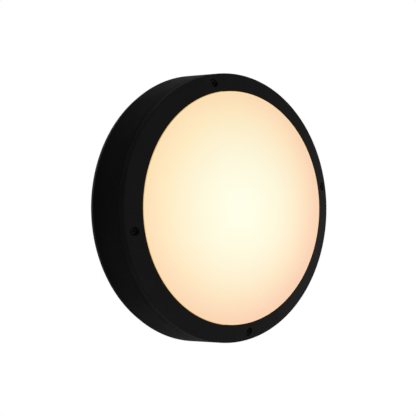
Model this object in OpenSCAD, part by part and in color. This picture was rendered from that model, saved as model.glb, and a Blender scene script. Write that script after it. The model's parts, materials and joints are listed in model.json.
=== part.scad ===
// Round outdoor wall light: a cast housing on the wall, a screwed cover ring and an opal diffuser.
// The back lies on the plane y = 0, the light faces -Y and +Z is up. Sizes are in millimetres.
// Each piece is drawn with its depth along +Z, from the wall to the front, and stand() turns it up.

/* [Housing] */
// Outside diameter of the housing and of the cover ring
body_d = 300; // [280:1:340]
// Depth of the housing, from the wall to the seam under the cover ring
housing_h = 51.2; // [48:0.1:62]
// Thickness of the outer skirt
skirt_t = 5.6; // [4.8:0.1:7]
// How far the skirt draws in at the wall
wall_edge_in = 3; // [1:0.1:4]
// Depth over which the skirt draws in at the wall
wall_edge_h = 7.5; // [4:0.1:12]
// Step from the diffuser's edge in to the inside of the pan
pan_step = 4.5; // [4:0.1:6]
// Thickness of the pan's side wall
pan_t = 3; // [2:0.1:4]
// Slope between the pan's side wall and its back plate
pan_corner = 3; // [1:0.1:5]
// Thickness of the back plate
back_t = 4; // [3.5:0.1:6]
// Thickness of the shelf that joins the pan to the skirt
shelf_t = 5; // [4:0.1:8]
// Number of ribs behind the shelf
rib_count = 20; // [8:4:32]
// Thickness of each rib
rib_t = 2.4; // [1.6:0.1:4]
// How far the ribs reach back from the shelf
rib_h = 26; // [10:1:38]

/* [Cover ring] */
// Height of the ring's side band, from the seam to the crease
band_h = 9.8; // [7:0.1:16]
// Rise of the sloping face, from the crease to the lip
slope_h = 9.6; // [7:0.1:14]
// Width of the sloping face, from the outside in to the diffuser
face_w = 20; // [19:0.1:24]
// Wall thickness of the cover ring
ring_t = 3.2; // [2.4:0.1:4]
// Thickness of the ring's inner wall, which presses on the diffuser
ring_inner_t = 2.6; // [1.8:0.1:3.4]
// Rounding of the crease between the band and the sloping face
crease_r = 1.2; // [0.4:0.1:3]
// Rounding of the lip beside the diffuser
lip_r = 0.6; // [0.2:0.1:1.2]
// Bevel on both edges of the seam
seam_cut = 0.5; // [0.2:0.1:1]
// Number of stiffening ribs inside the ring
ring_rib_count = 16; // [8:4:32]
// Thickness of a stiffening rib
ring_rib_t = 2; // [1.2:0.1:3]
// Width of the drain notch in the ring's lower edge
drain_w = 5; // [3:0.5:12]
// Height of the drain notch
drain_h = 2; // [1:0.1:4]
// Where the drain notch sits, anticlockwise from the right
drain_turn = 261; // [250:1:270]

/* [Diffuser and seal] */
// Wall thickness of the diffuser
lens_t = 2.8; // [2:0.1:3.6]
// How far the middle of the diffuser stands in front of its edge
dome_h = 12; // [4:0.5:24]
// Bevel round the diffuser's front edge
lens_bevel = 0.8; // [0.3:0.1:1.5]
// Gap between the diffuser and the cover ring
lens_gap = 0.4; // [0.2:0.1:0.8]
// Width of the diffuser's flange outside its skirt
flange_w = 3.2; // [2.6:0.1:3.6]
// Thickness of the flange
flange_t = 2.5; // [2:0.1:3.5]
// Width of the diffuser gasket
gasket_w = 4; // [3:0.1:4.6]
// Height of the diffuser gasket when clamped
gasket_h = 3.1; // [2.8:0.1:4]
// Depth of the gasket's groove in the shelf
groove_depth = 2.5; // [1.5:0.1:2.7]
// Clearance at each side of a gasket in its groove
groove_gap = 0.1; // [0.05:0.05:0.3]
// Width of the foam strip behind the back plate
foam_w = 6; // [4:0.5:8]
// Thickness of the foam strip when clamped
foam_t = 2; // [1.5:0.1:2.4]
// Distance from the pan's inside face in to the foam strip
foam_inset = 1; // [0.5:0.5:4]

/* [Cover screws] */
// Number of cover screws
cover_screws_n = 4; // [3:1:8]
// Distance of the cover screws in from the outside
screw_inset = 9.7; // [9.2:0.1:11]
// Turn of the first cover screw, anticlockwise from the right
screw_turn = 10.6; // [0:0.1:45]
// Thread diameter of the cover screws
screw_d = 4; // [3:0.5:5]
// Length of a cover screw under its head
screw_len = 20; // [16:1:25]
// Head diameter of a cover screw
head_d = 7; // [5.5:0.1:8.5]
// Head height of a cover screw
head_h = 4; // [3:0.1:5]
// Size of the hexagon socket across its flats
hex_w = 3; // [2.5:0.1:4]
// Depth of the hexagon socket
hex_depth = 2.2; // [1.5:0.1:2.6]
// Depth of the screw's seat under the sloping face
screw_sink = 7; // [6:0.1:9]
// Diameter of the washers under the cover screws
washer_d = 9; // [8:0.1:10]
// Thickness of the washers
washer_t = 0.8; // [0.5:0.1:1.2]
// Clearance round a washer in its recess
recess_gap = 0.2; // [0.1:0.05:0.4]
// Radius of the pillars in the ring round the screws
pillar_r = 6.6; // [6:0.1:7.4]
// Radius of the tapped bosses under the shelf
boss_r = 5.5; // [4.5:0.1:6.5]
// Depth of metal round each tapped hole under the shelf's top
boss_h = 17; // [15:0.5:24]
// Clearance of a screw through a plain hole
pass_gap = 0.25; // [0.1:0.05:0.4]
// Radial play of a screw in its thread
thread_gap = 0.05; // [0.03:0.01:0.1]

/* [Wall fixing and cable entry] */
// Number of wall fixing holes
fix_n = 3; // [2:1:4]
// Diameter of a wall fixing hole
fix_d = 5.5; // [4.5:0.1:6.5]
// Distance of the fixing holes in from the pan's inside face
fix_inset = 21.5; // [18:0.5:26]
// Diameter of the rubber seal round a fixing hole
seal_d = 12; // [10:0.5:14]
// Thickness of the rubber seal
seal_t = 2; // [1.5:0.1:3]
// Depth of the seal's recess in the back plate
seal_recess = 1; // [0.5:0.1:1.5]
// Diameter of a cable entry hole
entry_d = 20; // [16:0.5:22]
// Distance of the spare entry to the right of the first one
entry_x = 42; // [38:1:48]
// Diameter of the bore in the cable grommet
cable_d = 10; // [7:0.5:12]
// Diameter of a grommet's flanges
flange_d = 26; // [24:0.5:28]
// Thickness of a grommet's flanges
grommet_flange_t = 1.8; // [1.4:0.1:2]
// How far a grommet's back lies in front of the wall
grommet_inset = 0.3; // [0.1:0.1:0.4]
// Height of the grommet's nose in front of its inner flange
nose_h = 4; // [2:0.5:8]
// Thickness of the web that closes the spare entry
web_t = 1.5; // [1:0.1:3]

/* [Gear tray] */
// Thickness of the tray's sheet
tray_t = 1; // [0.8:0.1:1.5]
// Gap between the tray and the pan's inside face
tray_gap = 1.5; // [1:0.1:4]
// Height of the tray's upturned rim
tray_rim_h = 8; // [4:0.5:12]
// Distance of the tray's screws in from the pan's inside face
post_inset = 17.5; // [14:0.5:20]
// Radius of the posts that carry the tray
post_r = 5; // [4:0.1:6]
// Air between the driver's lid and the tray
driver_air = 3; // [2.5:0.1:8]
// Thread diameter of the pan head screws
pan_screw_d = 4; // [3:0.5:5]
// Length of the pan head screws under their heads
pan_screw_len = 8; // [6:0.5:9]
// Head diameter of the pan head screws
pan_head_d = 7.6; // [6:0.1:9]
// Head height of the pan head screws
pan_head_h = 2.6; // [2:0.1:3.2]
// Distance of the lead grommet from the middle
lead_hole_x = 16; // [13:0.5:18]
// Diameter of the lead grommet's groove in the tray
lead_hole_d = 8.4; // [7.6:0.1:9]
// Distance between the two leads in the lead grommet
lead_pitch = 3.8; // [3.4:0.1:4]

/* [LED board] */
// Thickness of the LED board
led_board_t = 1.6; // [1:0.1:2]
// Distance from the tray's screws in to the board's edge
board_gap = 14; // [10:0.5:20]
// Radius of the hole in the middle of the board
board_hole_r = 30; // [27:0.5:31]
// Number of LEDs in the inner ring
inner_leds = 12; // [6:2:16]
// Number of LEDs in the outer ring
outer_leds = 20; // [12:2:32]
// Distance of the inner ring from the board's hole
inner_led_inset = 20; // [18:0.5:22]
// Distance of the outer ring in from the board's edge
outer_led_inset = 12; // [6:0.5:14]
// Length of an LED
chip_l = 3.5; // [2:0.1:5]
// Width of an LED
chip_w = 2.8; // [1.5:0.1:4]
// Height of an LED
chip_h = 0.8; // [0.5:0.1:1.5]
// Thread diameter of the LED board's screws
small_screw_d = 3; // [2.5:0.1:3.4]
// Length of the LED board's screws under their heads
board_screw_len = 4; // [3:0.5:4.5]
// Head diameter of the small screws
small_head_d = 5.5; // [4.5:0.1:5.8]
// Head height of the small screws
small_head_h = 2; // [1.5:0.1:2.4]
// Length of the board's lead connector
plug_l = 9; // [8:0.5:11]
// Width of the board's lead connector
plug_w = 9; // [8:0.5:12]
// Height of the board's lead connector
plug_h = 4.4; // [4:0.1:6]

/* [LED driver] */
// Length of the driver's case
driver_l = 104; // [96:1:112]
// Width of the driver's case
driver_w = 38; // [32:1:42]
// Height of the driver with its lid
driver_h = 22; // [20:0.5:24]
// Wall thickness of the driver's case
driver_wall = 1.6; // [1.2:0.1:2.2]
// Height of the bosses under the driver's feet
driver_foot = 4; // [3:0.1:6]
// Height of the driver's middle above the middle of the light
driver_y = 50; // [46:1:54]
// Length of a foot, from the case to its screw
foot_l = 6; // [5.5:0.1:8]
// Width of a foot
foot_w = 12; // [10:0.5:16]
// Thickness of a foot
foot_t = 3; // [2:0.1:4]
// Depth of the lid's lip inside the case
lid_lip_h = 3; // [2:0.1:4]
// Fit of the lid's lip and of the connectors in the case
case_gap = 0.15; // [0.1:0.05:0.3]
// Thickness of the driver's circuit board
pcb_t = 1.6; // [1:0.1:2]
// Height of the posts under the circuit board
pcb_lift = 3; // [2:0.1:4]
// Length of the transformer
coil_l = 24; // [18:1:30]
// Width of the transformer
coil_w = 20; // [16:1:24]
// Height of the transformer
coil_h = 12; // [8:0.5:12]
// Diameter of a capacitor
can_d = 10; // [6:0.5:12]
// Height of a capacitor
can_h = 11; // [8:0.5:12]
// Length of the driver's lead connectors
jack_l = 12; // [10:0.5:14]
// Width of the driver's lead connectors
jack_w = 13; // [12:0.5:16]
// Height of the driver's lead connectors
jack_h = 8; // [6:0.5:9]

/* [Terminals and earth] */
// Distance from one terminal to the next
way_pitch = 10; // [9.6:0.1:11]
// Width of the terminal block, along the cables
term_w = 20; // [18:0.5:24]
// Height of the terminal block
term_h = 16; // [15:0.5:18]
// Height of the terminal block's middle under the middle of the light
term_y = 50; // [46:1:54]
// Height of the pad under the terminal block
term_pad_h = 3; // [2.6:0.1:4]
// Width of a brass clamp
clamp_w = 5.6; // [4.8:0.1:5.8]
// Height of a brass clamp
clamp_h = 7; // [6:0.1:7.5]
// Height of a clamp's underside over the block's foot
clamp_z = 2.5; // [2:0.1:3]
// Diameter of the tunnel through a clamp
tunnel_d = 3.6; // [3:0.1:4]
// Diameter of a clamp screw
clamp_screw_d = 3; // [2.5:0.1:3.4]
// Length of the screws that hold the terminal block
term_screw_len = 16; // [15:0.5:16.5]
// Depth of the terminal block over its screws' heads
term_sink = 5; // [4:0.1:5.4]
// Distance of the earth screw to the right of the middle
earth_x = 52; // [46:1:58]
// Distance of the earth screw under the middle
earth_y = 46; // [42:1:50]
// Height of the earth boss over the back plate
earth_boss_h = 6; // [5:0.1:8]
// Diameter of the earth lug's ring
lug_d = 8.4; // [7.4:0.1:10]
// Thickness of the earth lug
lug_t = 0.8; // [0.5:0.1:1.2]
// Length of the earth lug's barrel
barrel_l = 8; // [7:0.5:10]
// Diameter of the earth lug's barrel
barrel_d = 3.8; // [3.4:0.1:4.4]
// Thickness of the spring washer
spring_t = 1; // [0.8:0.1:1.4]

/* [Leads] */
// Outside diameter of an internal lead
lead_d = 2.4; // [1.8:0.1:2.5]
// Clearance of a lead in its hole
lead_gap = 0.1; // [0.05:0.05:0.15]
// How far a lead reaches into its hole
lead_in = 6; // [5:0.5:7]

/* [Hidden] */
$fn = 96;

// Overlap that welds two forms of one piece together
weld = 0.5;
// Extra length of a cutting form past the face that it opens
over = 1;
// Steps of a rounded edge in a turned outline
round_steps = 4;
// Sides of a lead's tube
lead_sides = 8;
// Rings of a lead's tube between two points of its route
lead_rings = 4;
// Straight length of a lead outside its hole
lead_stub = 3;

body_r = body_d / 2;
skirt_in_r = body_r - skirt_t;
opening_r = body_r - face_w;
lens_r = opening_r - lens_gap;
pan_r = opening_r - pan_step;
pan_out_r = pan_r + pan_t;
shelf_z = housing_h - shelf_t;

crease_z = housing_h + band_h;
front_z = crease_z + slope_h;
slope_turn = atan(slope_h / face_w);
slope_under = ring_t / cos(slope_turn);
gasket_r = opening_r + 0.6;
flange_z = housing_h - groove_depth + gasket_h;
flange_top_z = flange_z + flange_t;
flange_r = opening_r + flange_w;
dome_r = (lens_r * lens_r + dome_h * dome_h) / (2 * dome_h);
dome_z = front_z + dome_h - dome_r;

screw_r = body_r - screw_inset;
seat_z = crease_z + slope_h * screw_inset / face_w - screw_sink;
cover_screw_z = seat_z + washer_t;
recess_r = washer_d / 2 + recess_gap;

fix_r = pan_r - fix_inset;
entry_places = [[0, 0], [entry_x, 0]];
entry_recess = grommet_inset + grommet_flange_t;
neck_top_z = back_t;

driver_z = back_t + driver_foot;
lid_z = driver_z + driver_h - driver_wall;
pcb_z = driver_z + driver_wall + pcb_lift;
pcb_top_z = pcb_z + pcb_t;
jack_z = pcb_top_z + jack_h / 2;
jack_pitch = jack_w / 2;
driver_screw_x = driver_l / 2 + foot_l;
pcb_l = driver_l - 2 * driver_wall - 2;
pcb_w = driver_w - 2 * driver_wall - 2;

tray_z = driver_z + driver_h + driver_air;
tray_top_z = tray_z + tray_t;
tray_r = pan_r - tray_gap;
post_circle_r = pan_r - post_inset;
board_r = post_circle_r - board_gap;
board_top_z = tray_top_z + led_board_t;
inner_led_r = board_hole_r + inner_led_inset;
outer_led_r = board_r - outer_led_inset;
board_screw_r = (inner_led_r + outer_led_r) / 2;
plug_x = board_hole_r + over;
plug_pitch = plug_w / 2;
plug_z = board_top_z + plug_h / 2;

term_z = back_t + term_pad_h;
term_l = 3 * way_pitch + 2;
clamp_l = term_w - 3;
tunnel_z = term_z + clamp_z + clamp_h / 2;
clamp_screw_y = clamp_l / 4;
clamp_tip_z = tunnel_z + lead_d / 2;
term_screw_z = term_z + term_h - term_sink;

earth_z = back_t + earth_boss_h;
earth_screw_z = earth_z + lug_t + spring_t;
barrel_y = lug_d / 2 + 1;
barrel_z = earth_z + barrel_d / 2;
tap_r = pan_screw_d / 2 + thread_gap;
small_tap_r = small_screw_d / 2 + thread_gap;
tap_spare = 0.6;
lead_hole_r = lead_d / 2 + lead_gap;

// Places where the leads end, each at the bottom of its hole
jack_in_x = driver_l / 2 - lead_in;
plug_in_x = plug_x + lead_in;
term_in_y = -term_y + term_w / 2 - lead_in - over;
barrel_in_y = -earth_y + barrel_y + barrel_l - lead_in;

// Routes of the leads between their holes, chosen by hand
live_route = [[-12, -27, 14], [-34, -14, 15], [-64, 10, 16], [-77, 34, 18], [-72, 49, 18]];
neutral_route = [[-4, -24, 14], [-26, -7, 15], [-56, 14, 16], [-69, 32, 18], [-68, 43, 18]];
earth_route = [[12, -27, 14], [24, -18, 14], [42, -17, 13], [51, -22, 12]];
plus_route = [[72, 50, 18], [77, 36, 19], [60, 14, 21], [37, 1, 23], [21, -3, 24]];
minus_route = [[66, 45, 18], [67, 35, 19], [54, 19, 21], [35, 7, 23], [21, 3, 24]];

// Turns a piece drawn along +Z so that its front faces -Y
module stand() {
    rotate([90, 0, 0])
        children();
}

// Places the children n times on a circle of radius r
module around(n, r, turn = 0) {
    for (i = [0 : n - 1])
        rotate(turn + i * 360 / n)
            translate([r, 0, 0])
                children();
}

module at_cover_screws() {
    around(cover_screws_n, screw_r, screw_turn)
        children();
}

module at_fixings() {
    around(fix_n, fix_r, 90)
        children();
}

module at_posts() {
    around(4, post_circle_r, 45)
        children();
}

module at_driver_screws() {
    for (side = [-1, 1])
        translate([side * driver_screw_x, driver_y, 0])
            children();
}

module at_terminals() {
    for (way = [-1 : 1])
        translate([way * way_pitch, -term_y, 0])
            children();
}

module at_terminal_screws() {
    for (side = [-1, 1])
        translate([side * way_pitch / 2, -term_y, 0])
            children();
}

// A block with its middle at x = y = 0 and its underside at z
module block(l, w, h, z = 0) {
    translate([-l / 2, -w / 2, z])
        cube([l, w, h]);
}

// A bored ring between two heights
module collar(outer_r, inner_r, z, h) {
    translate([0, 0, z])
        difference() {
            cylinder(r = outer_r, h = h);
            translate([0, 0, -over])
                cylinder(r = inner_r, h = h + 2 * over);
        }
}

// Points of a rounded corner about [x, y], from one angle to the next
function rounded(x, y, r, from, to) =
    [for (i = [0 : round_steps]) let (a = from + (to - from) * i / round_steps)
        [x + r * cos(a), y + r * sin(a)]];

// A pan head screw with a cross recess, its head's underside at z = 0
module pan_screw(d, length, top_d, top_h) {
    recess_w = top_d * 0.13;
    recess_l = top_d * 0.55;
    difference() {
        union() {
            rotate_extrude()
                polygon(concat(
                    [[0, 0], [top_d / 2, 0]],
                    rounded(top_d / 2 - top_h / 2, top_h / 2, top_h / 2, 0, 90),
                    [[0, top_h]]
                ));
            translate([0, 0, -length])
                cylinder(d1 = d * 0.7, d2 = d, h = d * 0.2);
            translate([0, 0, -length + d * 0.2])
                cylinder(d = d, h = length - d * 0.2 + weld);
        }
        block(recess_l, recess_w, top_h, top_h * 0.4);
        block(recess_w, recess_l, top_h, top_h * 0.4);
    }
}

// Point at t between b and c on a smooth curve that passes a, b, c and d
function curve_point(a, b, c, d, t) =
    0.5 * (2 * b + (c - a) * t + (2 * a - 5 * b + 4 * c - d) * t * t
        + (3 * b - a - 3 * c + d) * t * t * t);

// A smooth path through the points of a route
function smooth(p) =
    concat(
        [for (i = [0 : len(p) - 2]) for (j = [0 : lead_rings - 1])
            curve_point(p[max(i - 1, 0)], p[i], p[i + 1], p[min(i + 2, len(p) - 1)], j / lead_rings)],
        [p[len(p) - 1]]
    );

function unit(v) = v / norm(v);

// Directions of a path at each of its points
function directions(p) =
    [for (i = [0 : len(p) - 1]) unit(p[min(i + 1, len(p) - 1)] - p[max(i - 1, 0)])];

// Sideways directions along a path, carried from each point to the next without twist
function sideways(dirs, last, i = 0, found = []) =
    i == len(dirs) ? found
    : let (side = unit(last - (last * dirs[i]) * dirs[i]))
        sideways(dirs, side, i + 1, concat(found, [side]));

// A lead from one hole, along its route, into another hole
module lead(from, from_way, route, to, to_way) {
    leave = from + from_way * (lead_in + lead_stub);
    arrive = to + to_way * (lead_in + lead_stub);
    path = concat([from], smooth(concat([leave], route, [arrive])), [to]);
    dirs = directions(path);
    sides = sideways(dirs, unit(cross(dirs[0], [0.1, 0.3, 1])));
    rings = len(path);
    points = [for (i = [0 : rings - 1]) for (k = [0 : lead_sides - 1])
        let (a = k * 360 / lead_sides)
        path[i] + lead_d / 2 * (cos(a) * sides[i] + sin(a) * cross(dirs[i], sides[i]))];
    walls = [for (i = [0 : rings - 2]) for (k = [0 : lead_sides - 1])
        let (next = (k + 1) % lead_sides)
        [i * lead_sides + k, (i + 1) * lead_sides + k,
            (i + 1) * lead_sides + next, i * lead_sides + next]];
    first = [for (k = [0 : lead_sides - 1]) k];
    last = [for (k = [lead_sides - 1 : -1 : 0]) (rings - 1) * lead_sides + k];
    polyhedron(points = points, faces = concat([first], walls, [last]), convexity = 6);
}

// Outline of the housing's wall from the axis to the outside
module housing_section() {
    polygon([
        [0, 0],
        [pan_out_r, 0],
        [pan_out_r, shelf_z],
        [skirt_in_r, shelf_z],
        [skirt_in_r, 0],
        [body_r - wall_edge_in, 0],
        [body_r, wall_edge_h],
        [body_r, housing_h - seam_cut],
        [body_r - seam_cut, housing_h],
        [pan_r, housing_h],
        [pan_r, back_t + pan_corner],
        [pan_r - pan_corner, back_t],
        [0, back_t],
    ]);
}

module housing_ribs() {
    for (i = [0 : rib_count - 1])
        rotate(screw_turn + i * 360 / rib_count)
            translate([pan_out_r - weld, -rib_t / 2, shelf_z - rib_h])
                cube([skirt_in_r - pan_out_r + 2 * weld, rib_t, rib_h + weld]);
}

// Bosses, posts and pads that stand on the back plate or hang under the shelf
module housing_bosses() {
    at_cover_screws()
        translate([0, 0, housing_h - boss_h])
            cylinder(r = boss_r, h = boss_h - shelf_t + weld);
    at_posts()
        translate([0, 0, back_t - weld])
            cylinder(r = post_r, h = tray_z - back_t + weld);
    at_driver_screws()
        translate([0, 0, back_t - weld])
            cylinder(d = foot_w, h = driver_foot + weld);
    translate([0, -term_y, 0])
        block(term_l, term_w, term_pad_h + weld, back_t - weld);
    translate([earth_x, -earth_y, back_t - weld])
        cylinder(d = lug_d + 2, h = earth_boss_h + weld);
}

// Tapped holes for the screws, each a little deeper than its screw
module housing_taps() {
    at_cover_screws()
        translate([0, 0, cover_screw_z - screw_len - tap_spare])
            cylinder(r = screw_d / 2 + thread_gap, h = screw_len);
    at_posts()
        translate([0, 0, tray_top_z - pan_screw_len - tap_spare])
            cylinder(r = tap_r, h = pan_screw_len + over);
    at_driver_screws()
        translate([0, 0, driver_z + foot_t - pan_screw_len - tap_spare])
            cylinder(r = tap_r, h = pan_screw_len + over);
    at_terminal_screws()
        translate([0, 0, term_screw_z - term_screw_len - tap_spare])
            cylinder(r = small_tap_r, h = term_screw_len);
    translate([earth_x, -earth_y, earth_screw_z - pan_screw_len - tap_spare])
        cylinder(r = tap_r, h = pan_screw_len + over);
}

module housing_openings() {
    for (place = entry_places)
        translate([place[0], place[1], -over]) {
            cylinder(d = entry_d, h = back_t + 2 * over);
            cylinder(r = flange_d / 2 + groove_gap, h = entry_recess + over);
        }
    at_fixings() {
        translate([0, 0, -over])
            cylinder(d = fix_d, h = back_t + 2 * over);
        translate([0, 0, back_t - seal_recess])
            cylinder(r = seal_d / 2 + groove_gap, h = seal_recess + over);
    }
}

module base_housing() {
    gasket_half = gasket_w / 2 + groove_gap;
    foam_out_r = pan_r - foam_inset;
    color([0.09, 0.09, 0.09])
        stand()
            difference() {
                union() {
                    rotate_extrude()
                        housing_section();
                    housing_ribs();
                    housing_bosses();
                }
                housing_taps();
                housing_openings();
                collar(gasket_r + gasket_half, gasket_r - gasket_half,
                    housing_h - groove_depth, groove_depth + over);
                collar(foam_out_r, foam_out_r - foam_w - 2 * groove_gap, -over, foam_t + over);
            }
}

module wall_gasket() {
    foam_out_r = pan_r - foam_inset - groove_gap;
    color([0.2, 0.2, 0.21])
        stand()
            collar(foam_out_r, foam_out_r - foam_w, 0, foam_t);
}

module fixing_seals() {
    color([0.12, 0.12, 0.12])
        stand()
            at_fixings()
                collar(seal_d / 2, fix_d / 2 + pass_gap, back_t - seal_recess, seal_t);
}

// A rubber grommet snapped into the back plate, before its bore is cut
module grommet_body() {
    translate([0, 0, grommet_inset])
        cylinder(d = flange_d, h = grommet_flange_t);
    translate([0, 0, grommet_inset])
        cylinder(r = entry_d / 2 - groove_gap, h = neck_top_z);
    translate([0, 0, neck_top_z])
        cylinder(d = flange_d, h = grommet_flange_t);
    translate([0, 0, neck_top_z + grommet_flange_t])
        cylinder(d1 = entry_d - 2, d2 = cable_d + 4, h = nose_h);
}

module cable_grommet() {
    color([0.1, 0.1, 0.1])
        stand()
            difference() {
                grommet_body();
                translate([0, 0, -over])
                    cylinder(d = cable_d, h = neck_top_z + grommet_flange_t + nose_h + 2 * over);
            }
}

module blanking_grommet() {
    web_z = neck_top_z + grommet_flange_t + nose_h - web_t;
    color([0.1, 0.1, 0.1])
        stand()
            translate([entry_x, 0, 0])
                difference() {
                    grommet_body();
                    translate([0, 0, -over])
                        cylinder(d = cable_d, h = web_z + over);
                }
}

module terminal_block() {
    open_y = term_w / 2 - clamp_l;
    color([0.93, 0.93, 0.9])
        stand()
            difference() {
                translate([0, -term_y, 0])
                    block(term_l, term_w, term_h, term_z);
                at_terminals() {
                    // Pocket of the clamp, open towards the driver
                    translate([-clamp_w / 2 - case_gap, open_y, term_z + clamp_z])
                        cube([clamp_w + 2 * case_gap, clamp_l + over, clamp_h + case_gap]);
                    translate([0, -term_w / 2 - over, tunnel_z])
                        rotate([-90, 0, 0])
                            cylinder(d = tunnel_d + 0.8, h = term_w / 2 + over);
                    for (side = [-1, 1])
                        translate([0, open_y + clamp_l / 2 + side * clamp_screw_y, tunnel_z])
                            cylinder(r = clamp_screw_d / 2 + 2 * pass_gap, h = term_h);
                }
                at_terminal_screws() {
                    translate([0, 0, term_z - over])
                        cylinder(r = small_screw_d / 2 + pass_gap, h = term_h + 2 * over);
                    translate([0, 0, term_screw_z])
                        cylinder(r = small_head_d / 2 + pass_gap, h = term_sink + over);
                }
            }
}

module terminal_clamps() {
    open_y = term_w / 2 - clamp_l;
    color([0.8, 0.65, 0.3])
        stand()
            at_terminals()
                difference() {
                    translate([-clamp_w / 2, open_y, term_z + clamp_z])
                        cube([clamp_w, clamp_l, clamp_h]);
                    translate([0, open_y - over, tunnel_z])
                        rotate([-90, 0, 0])
                            cylinder(d = tunnel_d, h = clamp_l + 2 * over);
                    for (side = [-1, 1])
                        translate([0, open_y + clamp_l / 2 + side * clamp_screw_y, tunnel_z])
                            cylinder(r = clamp_screw_d / 2 + thread_gap, h = clamp_h);
                }
}

module terminal_clamp_screws() {
    open_y = term_w / 2 - clamp_l;
    length = term_z + term_h - over - clamp_tip_z;
    color([0.75, 0.75, 0.77])
        stand()
            at_terminals()
                for (side = [-1, 1])
                    translate([0, open_y + clamp_l / 2 + side * clamp_screw_y, clamp_tip_z])
                        difference() {
                            cylinder(d = clamp_screw_d, h = length);
                            block(clamp_screw_d + over, clamp_screw_d * 0.25, over, length - over / 2);
                        }
}

module terminal_block_screws() {
    color([0.75, 0.75, 0.77])
        stand()
            at_terminal_screws()
                translate([0, 0, term_screw_z])
                    pan_screw(small_screw_d, term_screw_len, small_head_d, small_head_h);
}

module earth_lug() {
    color([0.8, 0.65, 0.3])
        stand()
            translate([earth_x, -earth_y, earth_z])
                difference() {
                    union() {
                        cylinder(d = lug_d, h = lug_t);
                        translate([-barrel_d / 2, 0, 0])
                            cube([barrel_d, barrel_y + weld, lug_t]);
                        translate([0, barrel_y, barrel_d / 2])
                            rotate([-90, 0, 0])
                                cylinder(d = barrel_d, h = barrel_l);
                    }
                    translate([0, 0, -over])
                        cylinder(r = pan_screw_d / 2 + pass_gap, h = lug_t + 2 * over);
                    translate([0, barrel_y + barrel_l - lead_in, barrel_d / 2])
                        rotate([-90, 0, 0])
                            cylinder(r = lead_hole_r, h = lead_in + over);
                }
}

module earth_spring_washer() {
    color([0.75, 0.75, 0.77])
        stand()
            translate([earth_x, -earth_y, 0])
                difference() {
                    collar(pan_head_d / 2, pan_screw_d / 2 + pass_gap, earth_z + lug_t, spring_t);
                    rotate(30)
                        translate([0, -spring_t / 4, earth_z])
                            cube([pan_head_d, spring_t / 2, lug_t + spring_t + over]);
                }
}

module earth_screw() {
    color([0.75, 0.75, 0.77])
        stand()
            translate([earth_x, -earth_y, earth_screw_z])
                pan_screw(pan_screw_d, pan_screw_len, pan_head_d, pan_head_h);
}

// Opening in the driver's end wall for a connector
module jack_window() {
    translate([0, 0, pcb_z])
        block(driver_wall * 4, jack_w + 2 * case_gap, pcb_t + jack_h + case_gap);
}

module driver_case() {
    inner_l = driver_l - 2 * driver_wall;
    inner_w = driver_w - 2 * driver_wall;
    color([0.9, 0.9, 0.88])
        stand()
            translate([0, driver_y, 0])
                difference() {
                    union() {
                        difference() {
                            block(driver_l, driver_w, lid_z - driver_z, driver_z);
                            block(inner_l, inner_w, driver_h, driver_z + driver_wall);
                            for (side = [-1, 1])
                                translate([side * (driver_l - driver_wall) / 2, 0, 0])
                                    jack_window();
                        }
                        for (x = [-0.4, 0.4], y = [-0.3, 0.3])
                            translate([x * driver_l, y * driver_w, driver_z + driver_wall - weld])
                                cylinder(r = 2, h = pcb_lift + weld);
                        for (side = [-1, 1]) {
                            translate([side * (driver_screw_x + driver_l / 2 - weld) / 2, 0, 0])
                                block(foot_l + weld, foot_w, foot_t, driver_z);
                            translate([side * driver_screw_x, 0, driver_z])
                                cylinder(d = foot_w, h = foot_t);
                        }
                    }
                    for (side = [-1, 1])
                        translate([side * driver_screw_x, 0, driver_z - over])
                            cylinder(r = pan_screw_d / 2 + pass_gap, h = foot_t + 2 * over);
                }
}

module driver_circuit_board() {
    color([0.1, 0.4, 0.2])
        stand()
            translate([0, driver_y, 0])
                block(pcb_l, pcb_w, pcb_t, pcb_z);
}

module driver_transformer() {
    core_w = coil_w * 0.6;
    color([0.75, 0.6, 0.25])
        stand()
            translate([-driver_l * 0.12, driver_y, 0]) {
                block(coil_l, core_w, coil_h, pcb_top_z);
                block(coil_l * 0.6, coil_w, coil_h * 0.8, pcb_top_z);
            }
}

module driver_capacitors() {
    color([0.15, 0.2, 0.35])
        stand()
            for (x = [0.1, 0.25])
                translate([x * driver_l, driver_y, pcb_top_z])
                    cylinder(d = can_d, h = can_h);
}

// A lead connector with its mouth at x = 0 and its holes along +X
module jack(l, w, h, pitch, z) {
    difference() {
        translate([l / 2, 0, 0])
            block(l, w, h, z);
        for (side = [-1, 1])
            translate([-over, side * pitch / 2, z + h / 2])
                rotate([0, 90, 0])
                    cylinder(r = lead_hole_r, h = lead_in + over);
    }
}

module driver_input_connector() {
    color([0.85, 0.85, 0.85])
        stand()
            translate([-driver_l / 2, driver_y, 0])
                jack(jack_l, jack_w, jack_h, jack_pitch, pcb_top_z);
}

module driver_output_connector() {
    color([0.85, 0.85, 0.85])
        stand()
            translate([driver_l / 2, driver_y, 0])
                mirror([1, 0, 0])
                    jack(jack_l, jack_w, jack_h, jack_pitch, pcb_top_z);
}

module driver_lid() {
    lip_l = driver_l - 2 * driver_wall - 2 * case_gap;
    lip_w = driver_w - 2 * driver_wall - 2 * case_gap;
    color([0.88, 0.88, 0.86])
        stand()
            translate([0, driver_y, 0]) {
                block(driver_l, driver_w, driver_wall, lid_z);
                difference() {
                    block(lip_l, lip_w, lid_lip_h + weld, lid_z - lid_lip_h);
                    block(lip_l - 2 * driver_wall, lip_w - 2 * driver_wall, driver_h, lid_z - driver_h);
                }
            }
}

module driver_screws() {
    color([0.75, 0.75, 0.77])
        stand()
            at_driver_screws()
                translate([0, 0, driver_z + foot_t])
                    pan_screw(pan_screw_d, pan_screw_len, pan_head_d, pan_head_h);
}

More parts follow.
